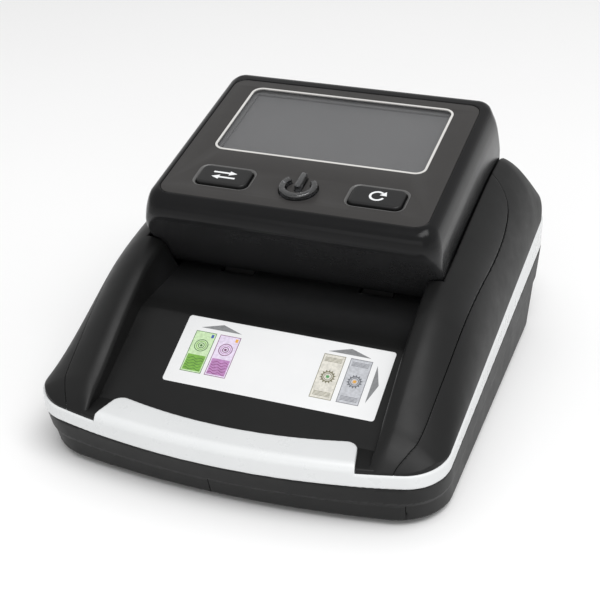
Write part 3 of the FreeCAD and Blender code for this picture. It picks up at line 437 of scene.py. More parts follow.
def head_fn(u, v, w):
    x = np.abs(u)
    y = PANEL_Y + v * CT - w * SN
    z = PANEL_Z + v * SN + w * CT
    hw = side_w(w)
    prof = convex2(HEAD_PROF, y, z)
    d2 = rrect2(x, y, -hw, hw, 65.6, 190.0, 9.0)
    rear = convex2(HEAD_REAR, y, z)
    walls = smax(rear, d2, 3.0 + 6.0 * np.clip((z - 74.0) / 18.0, 0, 1))
    out = smax(prof, walls, 2.0)
    inner = np.maximum(convex2(HEAD_OPEN, y, z), walls) + WALL
    f = np.maximum(out, -inner)
    seat = np.maximum(rrect2(x, v, -51.05, 51.05, -31.65, 51.45, 5.2), -1.5 - w)
    f = smax(f, -seat, 0.3)
    f = np.maximum(f, -ibox(x, v, w, -46.0, 46.0, -28.0, 47.8, -12.0, 4.0))
    kn = np.maximum(np.hypot(y - HINGE_Y, z - HINGE_Z) - 4.2, np.maximum(51.0 - x, x - 55.0))
    f = np.minimum(f, kn)
    f = np.maximum(f, -np.maximum(np.hypot(y - HINGE_Y, z - HINGE_Z) - 2.0, np.maximum(46.0 - x, x - 54.2)))
    f = np.maximum(f, -ibox(x, y, z, 45.9, 51.3, 160.6, 175.0, 30.0, 61.5))
    for py in (96.0, 145.0):
        r = np.hypot(x - 50.4, y - py)
        post = np.maximum(np.maximum(r - 3.9, 1.25 - r), np.maximum(47.8 - z, z - 62.8))
        f = np.minimum(f, post)
    return f


# ------------------------------------------------------------------ case
def shoulder_top(x, y, z):
    """Skin of the shoulders; x is positive."""
    zs = UP[0] + UP[1] * y
    zr = np.maximum(ridge(y), zs + 0.8)
    p = power(y)
    q = (x - 56.0) / 18.4
    h = (z - zs) / (zr - zs)
    lim = np.minimum(18.4, zr - zs)
    sup = ((np.maximum(q, 0) ** p + np.maximum(h, 0) ** p) ** (1 / p) - 1) * lim
    inn = (z - zr + 2.0 * (np.minimum(56.0 - x, 4.8) / 4.8) ** 2) * np.minimum(1.0, 18.4 / (zr - zs))
    f = np.where(x > 56.0, sup, inn)
    hw, sag = CASE_HW, TRIM[1]
    rf = (hw * hw + sag * sag) / (2 * sag)
    d = rf - np.hypot(x, y - CASE_Y0 - rf)
    front = (z - zs - 0.8 - 1.05 * d) / 1.45
    return smax(f, front, 2.6)


def lean_y(z):
    return LEAN[0][0] + LDY * (z - LEAN[0][1]) / LDZ


def bay_f(x, y, z, o=0.0):
    lean = (lean_y(z) - y) * abs(LDZ) - 0.6 - o
    return np.maximum(np.maximum(lean, x - VALLEY_X - o), FLOOR_Z - o - z)


def shell_f(x, y, z):
    """Hollow shoulders over the white band; x is positive."""
    top = shoulder_top(x, y, z)
    pl = plan2(x, y, 0.0)
    out = smax(np.maximum(top, pl), WALL_X - x, 1.1)
    foot = smax(smax(pl, z - 23.3, 1.0), x - 53.6, 1.0)
    foot = np.maximum(foot, np.maximum(43.0 - x, y - 19.0))
    out = np.minimum(out, foot)
    out = smax(out, -bay_f(x, y, z), 0.35)
    inn = np.maximum(np.maximum(top + WALL, pl + WALL), WALL_X + WALL - x)
    inn = np.maximum(inn, -bay_f(x, y, z, WALL))
    f = np.maximum(out, -inn)
    return np.maximum(f, (UP[0] - 0.3 + UP[1] * y - z) / 1.008)


def seam_d(x, y):
    """Negative inside the parting line of the feed deck."""
    return np.maximum((x - seam_f(np.minimum(y, 151.0))) * 0.75, y - 150.0)


def lip2(x, y, o=0.0):
    x = np.abs(x)
    a = (y - 12.4 - 5.9 * (x / 42.6) ** 2) / 1.03
    b = (x - 46.7 + 0.22 * (y - 6.5)) / 1.024
    return smax(a, b, 4.2) - o


SILL_Y = RAMP_Y + (22.0 - RAMP_Z) / RAMP_S
ztop = pchip([(-20, 22.0), (SILL_Y - 4, 22.0), (SILL_Y - 0.9, 22.03), (SILL_Y + 0.9, 22.44), (SILL_Y + 4, 22 + 4 * RAMP_S),
              (CREST_Y - 6, RAMP_Z + RAMP_S * (CREST_Y - 6 - RAMP_Y)), (CREST_Y - 1, RAMP_Z + RAMP_S * (CREST_Y - 1 - RAMP_Y)),
              (CREST_Y + 1.2, 40.93), (CREST_Y + 4, FLOOR_Z), (200, FLOOR_Z)])
DECK_SCREWS = [(-40.0, 32.0), (-50.0, 156.0), (50.0, 156.0)]


def deck_fn(X, y, z):
    x = np.abs(X)
    zt = ztop(y)
    thick = np.where(y < CREST_Y + 2, 2.2, FLOOR_T)
    flo = np.maximum((z - zt) * 0.92, (zt - thick - z) * 0.92)
    hwf = np.where(y < 72.0, WALL_X + 0.02, np.where(y < 162.0, VALLEY_X - 0.4, VALLEY_X - 0.3))
    flo = np.maximum(flo, np.maximum(x - hwf, np.maximum(4.0 - y, y - 183.4)))
    under = (UP[0] + 0.06 + UP[1] * y - z) / 1.008
    inside = outline2(x, y, 75.0 - 3.4, TRIM[1], 12.6, 0.2 + 3.4, 187.0 - 3.4, 10.6, 3.0)
    flo = np.maximum(flo, np.minimum(np.where(under > 0, 1e3, -under), inside) * 1.0)
    flo = np.maximum(flo, np.where(y < 40, plan2(x, y, 0.0), -1e3))
    f = flo
    f = np.maximum(f, -np.maximum(lip2(x, y, 0.2), 10.0 - z))
    f = np.maximum(f, -ibox(x, y, z, WALL_X - 0.4, WALL_X + WALL + 0.3, 87.0, 170.0, 5.0, FLOOR_Z - FLOOR_T))
    for ry in (FRONT_Y, BACK_Y):
        win = np.maximum(rrect2(x, y, ROLL_X - 6.8, ROLL_X + 6.8, ry - 8.4, ry + 8.4, 1.0), np.maximum(30 - z, z - 50))
        f = smax(f, -win, 0.35)
    led = np.maximum(ibox(x, y, z, -42.4, 42.4, 112.5, 125.5, 37.4, 38.8), -ibox(x, y, z, -38.9, 38.9, 116.0, 122.0, 30, 50))
    f = np.maximum(np.minimum(np.maximum(f, -ibox(x, y, z, -40.4, 40.4, 114.5, 123.5, 30, 50)), led), -1e3)
    rad = np.hypot(y - HINGE_Y, z - HINGE_Z)
    ear = np.minimum(np.maximum(np.abs(y - HINGE_Y) - 4.5 - (HINGE_Z - z) * 0.075, np.maximum(z - HINGE_Z, 40.0 - z)), rad - 4.5)
    ear = np.maximum(ear, np.maximum(46.6 - x, x - 50.6))
    f = np.maximum(np.minimum(f, ear), -np.maximum(rad - 2.05, np.maximum(45.0 - x, x - 51.6)))
    for sx, sy in DECK_SCREWS:
        r = np.hypot(X - sx, y - sy)
        b = np.maximum(np.maximum(r - 3.5, 1.5 - r), np.maximum(15.1 - z, z - zt + 1.0))
        f = np.minimum(f, b)
    return f


def along_seam(y):
    return seam_f(np.clip(y, -4.0, 139.0)) - 68.0


def seam_grid(fn, sign=1.0):
    """fn on a grid sheared so that the parting line lies on one of its planes."""
    def g(x, y, z):
        return fn(sign * x + along_seam(y), y, z)

    def to(p):
        q = np.array(p)
        q[:, 0] += sign * along_seam(q[:, 1])
        return q
    return g, to


def wall_fn(x, y, z):
    f = np.maximum(shell_f(x, y, z), seam_d(x, y) + GAP)
    f = np.maximum(f, -np.maximum(lip2(x, y, 0.2), 10.0 - z))
    return np.maximum(f, -ibox(x, y, z, WALL_X - 0.4, WALL_X + WALL + 0.3, 87.0, 170.0, 5.0, FLOOR_Z - FLOOR_T))


def cover_fn(x, y, z):
    f = np.maximum(shell_f(x, y, z), GAP - seam_d(x, y))
    for sx, sy in ((68.4, 27.0), (66.0, 160.0)):
        r = np.hypot(x - sx, y - sy)
        top = shoulder_top(x, y, z)
        b = np.maximum(np.maximum(r - 2.7, 1.5 - r), np.maximum(15.1 - z, top + 1.0))
        f = np.minimum(f, b)
    return f


def trim_fn(X, y, z):
    x = np.abs(X)
    pl = outline2(x, y, *TRIM)
    up, low = plane(y, z, UP), -plane(y, z, (LOW[0] + 0.02, LOW[1]))
    ring = smax(smax(pl, up, 0.7), low, 0.7)
    ring = np.maximum(ring, -outline2(x, y, 71.8, TRIM[1], 12.8, 3.4, 183.8, 10.8, 3.0))
    lp = lip2(x, y)
    lip = smax(smax(pl, z - 24.9, 3.2), smax(lp, z - 24.9, 0.8), 0.3)
    lip = np.maximum(lip, low)
    cav = np.maximum(np.maximum(lp + 2.2, outline2(x, y, 75.0 - 2.6, TRIM[1], 13.4, 2.8, 184.4, 11.4, 3.0)), z - 22.7)
    lip = smax(np.maximum(lip, -cav), low, 0.7)
    f = np.minimum(ring, lip)
    return np.maximum(f, -np.maximum(x - 60.0, 178.0 - y))


def tub2(x, y, z, o):
    return outline2(x, y, 74.75 + 0.01 * z - o, 8.4 + 0.15 * z, 21.0 - 0.2 * z - o, 6.0 - 0.349 * z + o, 170.0 + 0.535 * z - o, 13.0, 3.0)


COVER_SCREWS = [(68.4, 27.0), (-68.4, 27.0), (66.0, 160.0), (-66.0, 160.0)]


def tub_solid(x, y, z):
    st = plane(y, z, STEP)
    o = 0.6 * np.clip(0.5 - st / 1.8, 0, 1)
    s = tub2(x, y, z, 0.0) + o
    s = smax(s, plane(y, z, (LOW[0] - 0.06, LOW[1])), 0.4)
    return smax(s, -z, 1.6)


def low_fn(X, y, z, whole=True):
    x = np.abs(X)
    s = tub_solid(x, y, z)
    cav = np.maximum(tub2(x, y, z, 3.0), 2.4 - z)
    f = np.maximum(s, -cav)
    rec = np.maximum(ibox(X, y, z, 25.0, 57.0, 166.6, 195, 4.6, 23.4), s)
    f = np.minimum(f, rec)
    f = smax(f, -np.maximum(rrect2(X, z, 26.6, 55.4, 6.2, 21.8, 1.2), 169.0 - y), 0.35)
    f = np.maximum(f, -np.maximum(np.hypot(X - 35.0, z - 14.0) - 4.3, np.maximum(160 - y, y - 180)))
    f = np.maximum(f, -ibox(X, y, z, 42.8, 51.2, 160, 172, 11.6, 16.4))
    for sx, sy in COVER_SCREWS + DECK_SCREWS:
        r = np.hypot(X - sx, y - sy)
        f = np.minimum(f, np.maximum(np.maximum(r - 3.9, s), z - 15.0))
        f = np.maximum(f, -np.maximum(r - 3.3, z - 6.0))
        f = np.maximum(f, -(r - 1.65))
    for sx, sy in ((-40, 88), (36, 88), (-40, 154), (36, 154)):
        r = np.hypot(X - sx, y - sy)
        f = np.minimum(f, np.maximum(np.maximum(r - 3.2, np.where(z > 3, 1.25 - r, -9)), np.maximum(2 - z, z - 9.0)))
    return f


def door_zone(X, y, z, g):
    a = ibox(X, y, z, -5 + g, 63 - g, -30, 13.0 - g, -9, 8.02 - g * 0.2)
    b = ibox(X, y, z, -5 + g, 48 - g, -30, 52.0 - g, -9, 8.02 - g * 0.2)
    return np.minimum(a, b)


def bottom_fn(X, y, z):
    f = low_fn(X, y, z)
    f = smax(f, -door_zone(X, y, z, 0.0), 0.12)
    br = np.maximum(ibox(X, y, z, -6.8, 49.8, 13.6, 53.8, 2.2, 21.0), -ibox(X, y, z, -5.2, 48.2, 15.2, 52.2, 0, 30))
    br = np.maximum(np.maximum(br, -ibox(X, y, z, -5.2, 48.2, 0, 52.1, 0, 2.8)), tub_solid(np.abs(X), y, z))
    return np.minimum(f, br)


def door_fn(X, y, z):
    return smax(low_fn(X, y, z), door_zone(X, y, z, 0.25), 0.12)


# ------------------------------------------------------------------ materials
def mat(name):
    m = bpy.data.materials.new(name)
    m.use_nodes = True
    nt = m.node_tree
    b = nt.nodes["Principled BSDF"]
    return m, nt, b


def node(nt, kind, **kw):
    n = nt.nodes.new(kind)
    for k, v in kw.items():
        setattr(n, k, v)
    return n


def coords(nt):
    return node(nt, "ShaderNodeTexCoord").outputs["Object"]


def noise(nt, scale, detail=3.0, rough=0.55, vec=None):
    n = node(nt, "ShaderNodeTexNoise")
    n.inputs["Scale"].default_value = scale
    n.inputs["Detail"].default_value = detail
    n.inputs["Roughness"].default_value = rough
    nt.links.new(vec if vec is not None else coords(nt), n.inputs["Vector"])
    return n.outputs["Fac"]


def ramp(nt, fac, stops):
    r = node(nt, "ShaderNodeValToRGB")
    el = r.color_ramp.elements
    while len(el) < len(stops):
        el.new(0.5)
    for e, (p, c) in zip(el, stops):
        e.position = p
        e.color = (*c, 1.0) if len(c) == 3 else c
    nt.links.new(fac, r.inputs["Fac"])
    return r.outputs["Color"]


def span(nt, fac, a, b, lo=0.3, hi=0.7):
    m = node(nt, "ShaderNodeMapRange")
    m.inputs["From Min"].default_value, m.inputs["From Max"].default_value = lo, hi
    m.inputs["To Min"].default_value, m.inputs["To Max"].default_value = a, b
    nt.links.new(fac, m.inputs["Value"])
    return m.outputs["Result"]


def bump(nt, b, h, strength, dist, socket="Normal"):
    n = node(nt, "ShaderNodeBump")
    n.inputs["Strength"].default_value = strength
    n.inputs["Distance"].default_value = dist
    nt.links.new(h, n.inputs["Height"])
    nt.links.new(n.outputs["Normal"], b.inputs[socket])
    return n


def plastic(name, dark, light, rough, grain=2600.0, depth=0.00002, strength=0.25, blotch=45.0, coat=0.0, coat_rough=0.1, ior=1.5, spec=0.5):
    """Moulded plastic: fine spark-eroded grain, slight colour drift, handling smudges in the sheen."""
    m, nt, b = mat(name)
    big = noise(nt, blotch, 4.0, 0.6)
    nt.links.new(ramp(nt, big, [(0.3, dark), (0.72, light)]), b.inputs["Base Color"])
    sm = noise(nt, blotch * 3.1, 5.0, 0.65)
    nt.links.new(span(nt, sm, rough[0], rough[1]), b.inputs["Roughness"])
    g = noise(nt, grain, 2.0, 0.5)
    bump(nt, b, g, strength, depth)
    b.inputs["IOR"].default_value = ior
    b.inputs["Specular IOR Level"].default_value = spec
    if coat:
        b.inputs["Coat Weight"].default_value = coat
        b.inputs["Coat Roughness"].default_value = coat_rough
    return m


def metal(name, col, rough, scale=(30, 900, 900), strength=0.15):
    m, nt, b = mat(name)
    mp = node(nt, "ShaderNodeMapping")
    mp.inputs["Scale"].default_value = scale
    nt.links.new(coords(nt), mp.inputs["Vector"])
    g = noise(nt, 1.0, 4.0, 0.6, mp.outputs["Vector"])
    lo = tuple(c * 0.8 for c in col)
    nt.links.new(ramp(nt, g, [(0.3, lo), (0.7, col)]), b.inputs["Base Color"])
    nt.links.new(span(nt, g, rough[0], rough[1]), b.inputs["Roughness"])
    bump(nt, b, g, strength, 0.00002)
    b.inputs["Metallic"].default_value = 1.0
    return m


M = {}
M["head_black"] = plastic("head_black_gloss", (0.0050, 0.0051, 0.0055), (0.0066, 0.0066, 0.0070), (0.19, 0.24), grain=5200, depth=0.000003, strength=0.03, spec=0.18)
M["case_black"] = plastic("case_black_satin", (0.0086, 0.0087, 0.0088), (0.0108, 0.0109, 0.0108), (0.42, 0.50), grain=3000, depth=0.000012, strength=0.18, spec=0.2)
M["deck_black"] = plastic("deck_black_satin", (0.0088, 0.0089, 0.0090), (0.0110, 0.0111, 0.0110), (0.36, 0.44), grain=3400, depth=0.00001, strength=0.16, spec=0.2)
M["trim_white"] = plastic("trim_white_gloss", (0.688, 0.70, 0.704), (0.705, 0.716, 0.72), (0.26, 0.31), grain=2600, depth=0.000002, strength=0.02)
M["plate_grey"] = plastic("plate_grey_satin", (0.030, 0.0285, 0.0275), (0.034, 0.032, 0.031), (0.40, 0.47), grain=6200, depth=0.000006, strength=0.15, spec=0.32)
M["key_black"] = plastic("key_black_satin", (0.0105, 0.0105, 0.0108), (0.0135, 0.0135, 0.0135), (0.33, 0.42), grain=5200, depth=0.000008, strength=0.18, spec=0.3)
M["rim_grey"] = plastic("rim_grey_satin", (0.105, 0.104, 0.103), (0.125, 0.124, 0.122), (0.30, 0.38), grain=6200, depth=0.000006, strength=0.15, spec=0.4)
M["frame_white"] = plastic("frame_white_print", (0.60, 0.59, 0.57), (0.65, 0.64, 0.62), (0.32, 0.42), grain=6000, depth=0.000006)


def painted_fill_light(m, y, z, fill_tone):
    """Painted fill light in the mouth: a paler colour standing in for light the lamps don't bring there, fading in
    from y[1] to y[0] and from z[1] to z[0] (mm).
    """
    nt = m.node_tree
    b = nt.nodes["Principled BSDF"]
    base = b.inputs["Base Color"].links[0].from_socket
    sp = node(nt, "ShaderNodeSeparateXYZ")
    nt.links.new(coords(nt), sp.inputs["Vector"])
    fade = []
    for k, (full, none), move in (("Y", y, MOVE[1]), ("Z", z, MOVE[2])):
        lo, hi, a, c = (full, none, 1.0, 0.0) if full < none else (none, full, 0.0, 1.0)
        fade.append(span(nt, sp.outputs[k], a, c, (lo + move) * 0.001, (hi + move) * 0.001))
    fade.append(span(nt, noise(nt, 160.0, 4.0, 0.6), 0.75, 1.0))
    out = fade[0]
    for f in fade[1:]:
        mu = node(nt, "ShaderNodeMath", operation="MULTIPLY")
        nt.links.new(out, mu.inputs[0])
        nt.links.new(f, mu.inputs[1])
        out = mu.outputs[0]
    mix = node(nt, "ShaderNodeMix", data_type="RGBA")
    nt.links.new(out, mix.inputs["Factor"])
    nt.links.new(base, mix.inputs[6])
    mix.inputs[7].default_value = (*fill_tone, 1.0)
    nt.links.new(mix.outputs[2], b.inputs["Base Color"])


# Painted fill light: the dark mouth under the head and the deck floor behind the ramp crest are painted paler in place
# of missing light.
painted_fill_light(M["head_black"], (80.0, 86.0), (69.5, 74.0), (0.026, 0.0262, 0.027))
painted_fill_light(M["deck_black"], (74.0, 60.0), (44.0, 58.0), (0.024, 0.0242, 0.025))
M["rubber_black"] = plastic("rubber_black", (0.014, 0.014, 0.014), (0.024, 0.024, 0.024), (0.62, 0.8), grain=1900, depth=0.00005, strength=0.35)
M["steel"] = metal("steel_ground", (0.62, 0.62, 0.63), (0.22, 0.38))
M["sheet_steel"] = metal("sheet_steel_zinc", (0.56, 0.57, 0.59), (0.32, 0.5), scale=(160, 160, 160))
M["brass"] = metal("brass_turned", (0.72, 0.53, 0.24), (0.25, 0.4))
M["board_green"] = plastic("board_green", (0.012, 0.075, 0.035), (0.02, 0.105, 0.05), (0.3, 0.42), grain=1500, depth=0.00003)
M["pulley_white"] = plastic("pulley_acetal", (0.70, 0.69, 0.65), (0.76, 0.75, 0.72), (0.4, 0.5))
M["battery_blue"] = plastic("battery_wrap", (0.01, 0.03, 0.16), (0.016, 0.045, 0.21), (0.2, 0.3), grain=800, depth=0.00004)


def power_mat():
    m, nt, b = mat("power_dark_clear")
    n = noise(nt, 160.0, 4.0)
    nt.links.new(ramp(nt, n, [(0.3, (0.19, 0.195, 0.205)), (0.7, (0.26, 0.265, 0.275))]), b.inputs["Base Color"])
    nt.links.new(span(nt, noise(nt, 420.0, 3.0), 0.03, 0.09), b.inputs["Roughness"])
    b.inputs["Transmission Weight"].default_value = 0.94
    b.inputs["IOR"].default_value = 1.52
    b.inputs["Coat Weight"].default_value = 0.8
    b.inputs["Coat Roughness"].default_value = 0.03
    bump(nt, b, noise(nt, 900.0, 2.0), 0.1, 0.00002)
    return m


M["power_dark"] = power_mat()


def lens_mat(name, tint, alpha):
    """Clear acrylic, thin: mostly see-through with its own gloss."""
    m, nt, b = mat(name)
    n = noise(nt, 60.0, 4.0)
    nt.links.new(ramp(nt, n, [(0.3, tint), (0.7, tuple(min(1, c * 1.06) for c in tint))]), b.inputs["Base Color"])
    nt.links.new(span(nt, noise(nt, 300.0, 4.0), 0.05, 0.12), b.inputs["Roughness"])
    b.inputs["Alpha"].default_value = alpha
    return m


M["lens_clear"] = lens_mat("lens_clear_acrylic", (0.09, 0.09, 0.092), 0.18)
M["window_clear"] = lens_mat("window_clear_acrylic", (0.05, 0.05, 0.055), 0.4)


def lcd_mat():
    """Unlit display: polariser grey with faint noise in tone and a fine noise bump."""
    m, nt, b = mat("lcd_grey_unlit")
    n = noise(nt, 40.0, 3.0)
    nt.links.new(ramp(nt, n, [(0.3, (0.205, 0.207, 0.212)), (0.7, (0.222, 0.224, 0.228))]), b.inputs["Base Color"])
    nt.links.new(span(nt, noise(nt, 200.0, 4.0), 0.42, 0.5), b.inputs["Roughness"])
    bump(nt, b, noise(nt, 5200.0, 1.0), 0.1, 0.000006)
    return m


M["lcd_grey"] = lcd_mat()


def label_mat():
    m, nt, b = mat("label_white_film")
    n = noise(nt, 60.0, 4.0)
    nt.links.new(ramp(nt, n, [(0.3, (0.725, 0.73, 0.735)), (0.7, (0.755, 0.758, 0.762))]), b.inputs["Base Color"])
    nt.links.new(span(nt, noise(nt, 260.0, 4.0), 0.3, 0.4), b.inputs["Roughness"])
    bump(nt, b, noise(nt, 1400.0, 2.0), 0.08, 0.00001)
    return m


M["label_white"] = label_mat()


def ink(name, col, vary=0.12, rough=0.45):
    m, nt, b = mat(name)
    n = noise(nt, 900.0, 3.0)
    a = tuple(max(0, c * (1 - vary)) for c in col)
    c2 = tuple(min(1, c * (1 + vary)) for c in col)
    nt.links.new(ramp(nt, n, [(0.35, a), (0.65, c2)]), b.inputs["Base Color"])
    nt.links.new(span(nt, noise(nt, 300.0, 3.0), rough - 0.05, rough + 0.05), b.inputs["Roughness"])
    return m


# ------------------------------------------------------------------ shells
head = contour("head_housing", head_fn, (-58.03, -42.03, -54.03), (58.03, 66.0, 1.5), 0.7, panel_pt)
piece(head, "head", M["head_black"], ["head_shell"])
deck = contour("feed_deck_floor", deck_fn, (-60.03, 1.03, 13.03), (60.0, 186.0, 60.0), 0.9)
piece(deck, "base", M["deck_black"], ["feed_deck"])
for side, sg in (("right", 1.0), ("left", -1.0)):
    g, to = seam_grid(wall_fn, sg)
    lo, hi = (42.03, 1.03, 19.03), (70.0, 166.0, 74.0)
    if sg < 0:
        lo, hi = (-70.0, 1.03, 19.03), (-42.03, 166.0, 74.0)
    ob = contour("tray_wall_" + side[0], g, lo, hi, 0.5, to)
    piece(ob, "base", M["deck_black"], ["tray_wall_" + side])
    g, to = seam_grid(cover_fn, sg)
    lo, hi = (53.03, -1.03, 12.03), (84.0, 189.0, 74.0)
    if sg < 0:
        lo, hi = (-84.0, -1.03, 12.03), (-53.03, 189.0, 74.0)
    ob = contour("side_cover_" + side[0], g, lo, hi, 0.5, to)
    piece(ob, "base", M["case_black"], ["side_cover_" + side])
trim = contour("trim_band", trim_fn, (-77.03, -2.03, 14.03), (77.0, 189.0, 46.0), 0.52)
piece(trim, "base", M["trim_white"], ["white_trim"])
low = contour("lower_case", bottom_fn, (-77.03, -2.03, -1.53), (77.0, 190.0, 33.0), 0.95)
piece(low, "base", M["case_black"], ["bottom_case"])
door = contour("hatch", door_fn, (-7.03, -2.03, -1.53), (65.0, 54.0, 10.0), 0.6)
piece(door, "battery_door", M["case_black"], ["battery_door"])

# ------------------------------------------------------------------ panel parts
def wrap(loop, w):
    return [(a, b, w) for a, b in loop]


def key_loop(x, o, r=2.3):
    return rr_loop(x - KEY_W / 2 - o, x + KEY_W / 2 + o, KEY_V - KEY_L / 2 - o, KEY_V + KEY_L / 2 + o, max(r + o, 0.3))


def arc_loop(g, n=48):
    """Outline of the open ring, grown by g."""
    a = math.radians(48)
    out = []
    for R, sg in ((POW_R + g, 1), (POW_R - POW_T - g, -1)):
        d = math.asin(min(1, g / R))
        t = np.linspace(a - d, 2 * math.pi - a + d, n)
        t = t if sg > 0 else t[::-1]
        out += [(R * math.sin(q), POW_V + R * math.cos(q)) for q in t]
    return out


def bar_loop(g):
    return rr_loop(-1.15 - g, 1.15 + g, POW_V - 1.4 - g, POW_V + 7.6 + g, 0.6 + max(g, -0.4))


FR, WIN_HW, WIN_L, WIN_LINE = 4.3, 41.72, 46.75, 1.25
PLATE_LOOPS = [rr_loop(-50.9, 50.9, -31.5, 51.3, 5.0, 12), rr_loop(-WIN_HW - 0.03, WIN_HW + 0.03, -0.03, WIN_L + 0.03, FR, 10),
               key_loop(-KEY_X, 1.55), key_loop(KEY_X, 1.55), arc_loop(0.3), bar_loop(0.3)]
plate = flat("face_plate_skin", PLATE_LOOPS, -1.46, -0.1, panel_pt, 0.16)
piece(plate, "head", M["plate_grey"], ["face_plate"])
line = flat("window_line", [rr_loop(-WIN_HW, WIN_HW, 0, WIN_L, FR, 10), rr_loop(-WIN_HW + 0.9, WIN_HW - 0.9, 0.9, WIN_L - 0.9, FR - 0.9, 10)], -0.6, -0.04, panel_pt, 0.06)
piece(line, "head", M["frame_white"], ["window_frame"])
pane = flat("window_pane", [rr_loop(-WIN_HW + 0.93, WIN_HW - 0.93, 0.93, WIN_L - 0.93, FR - 0.93, 10)], -1.46, -0.1, panel_pt, 0.05)
piece(pane, "head", M["lens_clear"], ["lcd_lens"])
for nm, kx in (("left", -KEY_X), ("right", KEY_X)):
    rim = stack("key_rim_" + nm, [wrap(key_loop(kx, o), w) for o, w in ((1.53, -0.2), (1.47, -0.08), (1.3, -0.06), (0.66, -0.5), (0.55, -0.62), (0.55, -1.46), (1.53, -1.46))], panel_pt, 30, True)
    piece(rim, "head", M["rim_grey"])
    cap = stack("key_cap_" + nm, [wrap(key_loop(kx, o), w) for o, w in ((0.9, -3.3), (0.9, -1.8), (0.0, -1.8), (0.0, 0.0), (-0.03, 0.22), (-0.12, 0.42), (-0.28, 0.58), (-0.5, 0.68), (-0.8, 0.73), (-1.2, 0.745), (-3.0, 0.75))], panel_pt, 40)
    piece(cap, "key_" + nm, M["key_black"], ["key_" + nm])

rows = [(0.0, -2.2), (0.0, 1.15), (-0.05, 1.4), (-0.16, 1.62), (-0.34, 1.78), (-0.56, 1.88), (-0.8, 1.9)]
arc = stack("power_arc", [wrap(arc_loop(o), w) for o, w in rows], panel_pt, 40)
bar = stack("power_bar", [wrap(bar_loop(o), w) for o, w in ((0.0, -2.2), (0.0, 1.9), (-0.04, 2.1), (-0.14, 2.26), (-0.3, 2.36), (-0.5, 2.4))], panel_pt, 40)
disc = stack("power_base", [wrap(oval(0, POW_V, r, r, 64), w) for r, w in ((8.1, -3.3), (8.4, -3.2), (8.4, -2.1), (8.2, -1.9))], panel_pt, 40)
piece(joined("power_symbol", [arc, bar, disc]), "power_key", M["power_dark"], ["power_key"])

INK = {"white": ink("ink_white", (0.80, 0.81, 0.82), 0.04)}
kx, kv = -KEY_X, KEY_V
pts = []
for sx, dy in ((1, 1.45), (-1, -1.45)):
    c = [(-4.6, -0.45), (1.6, -0.45), (1.6, -1.35), (4.6, 0.0), (1.6, 1.35), (1.6, 0.45), (-4.6, 0.45)]
    pts.append([(kx + sx * a, kv + dy + sx * b) for a, b in c])
piece(flat("key_mark_left", pts, 0.735, 0.775, panel_pt), "key_left", INK["white"])
kx = KEY_X
t = np.radians(np.linspace(50, 340, 40))
c = [(kx + 2.95 * math.cos(a), kv + 2.95 * math.sin(a)) for a in t] + [(kx + 2.1 * math.cos(a), kv + 2.1 * math.sin(a)) for a in t[::-1]]
a = math.radians(50)
ex, ey, tx, ty = math.cos(a), math.sin(a), math.sin(a), -math.cos(a)
tri = [(kx + r * ex + q * tx, kv + r * ey + q * ty) for r, q in ((0.95, 0.12), (4.1, 0.12), (2.52, 2.3))]
piece(flat("key_mark_right", [c, tri], 0.735, 0.775, panel_pt), "key_right", INK["white"])

# ------------------------------------------------------------------ label
RAMP_A = math.atan(RAMP_S)


def label_pt(p):
    p = np.array(p, float)
    a, b = p[..., 0] - 7.8, p[..., 1] - 24.2
    p[..., 0], p[..., 1] = 7.8 + a * math.cos(0.013) + b * math.sin(0.013), 24.2 + b * math.cos(0.013) - a * math.sin(0.013)
    c, s = math.cos(RAMP_A), math.sin(RAMP_A)
    return np.stack([p[..., 0], RAMP_Y + p[..., 1] * c - p[..., 2] * s, RAMP_Z + p[..., 1] * s + p[..., 2] * c], -1)


LX0, LX1, LV0, LV1 = -31.4, 47.0, 9.85, 38.6
lab = flat("label_film", [rr_loop(LX0, LX1, LV0, LV1, 1.1)], 0.03, 0.2, label_pt, 0.05)
piece(lab, "base", M["label_white"], ["note_label"])
INK.update(grey=ink("ink_grey", (0.20, 0.205, 0.21)), pale_green=ink("ink_pale_green", (0.50, 0.66, 0.40)), green=ink("ink_green", (0.16, 0.36, 0.05)),
           deep_green=ink("ink_deep_green", (0.045, 0.13, 0.03)), pale_lilac=ink("ink_pale_lilac", (0.66, 0.58, 0.72)), lilac=ink("ink_lilac", (0.42, 0.20, 0.42)),
           plum=ink("ink_plum", (0.16, 0.03, 0.12)), amber=ink("ink_amber", (0.72, 0.36, 0.05)), bone=ink("ink_bone", (0.62, 0.60, 0.54)), olive=ink("ink_olive", (0.17, 0.16, 0.10)),
           mist=ink("ink_mist", (0.46, 0.47, 0.50)), slate=ink("ink_slate", (0.13, 0.135, 0.15)), blue=ink("ink_blue", (0.05, 0.09, 0.36)), leaf=ink("ink_leaf", (0.07, 0.27, 0.08)))
ART = {}


def draw(col, level, *loops):
    ART.setdefault((col, level), []).extend(loops)


def ringed(col, level, cx, cy, rx, ry, wd):
    draw(col, level, oval(cx, cy, rx, ry), oval(cx, cy, rx - wd, ry - wd))


def star(cx, cy, r, k, n):
    return [(cx + (r if i % 2 else r * k) * math.cos(math.pi * i / n), cy + (r if i % 2 else r * k) * math.sin(math.pi * i / n)) for i in range(2 * n)]


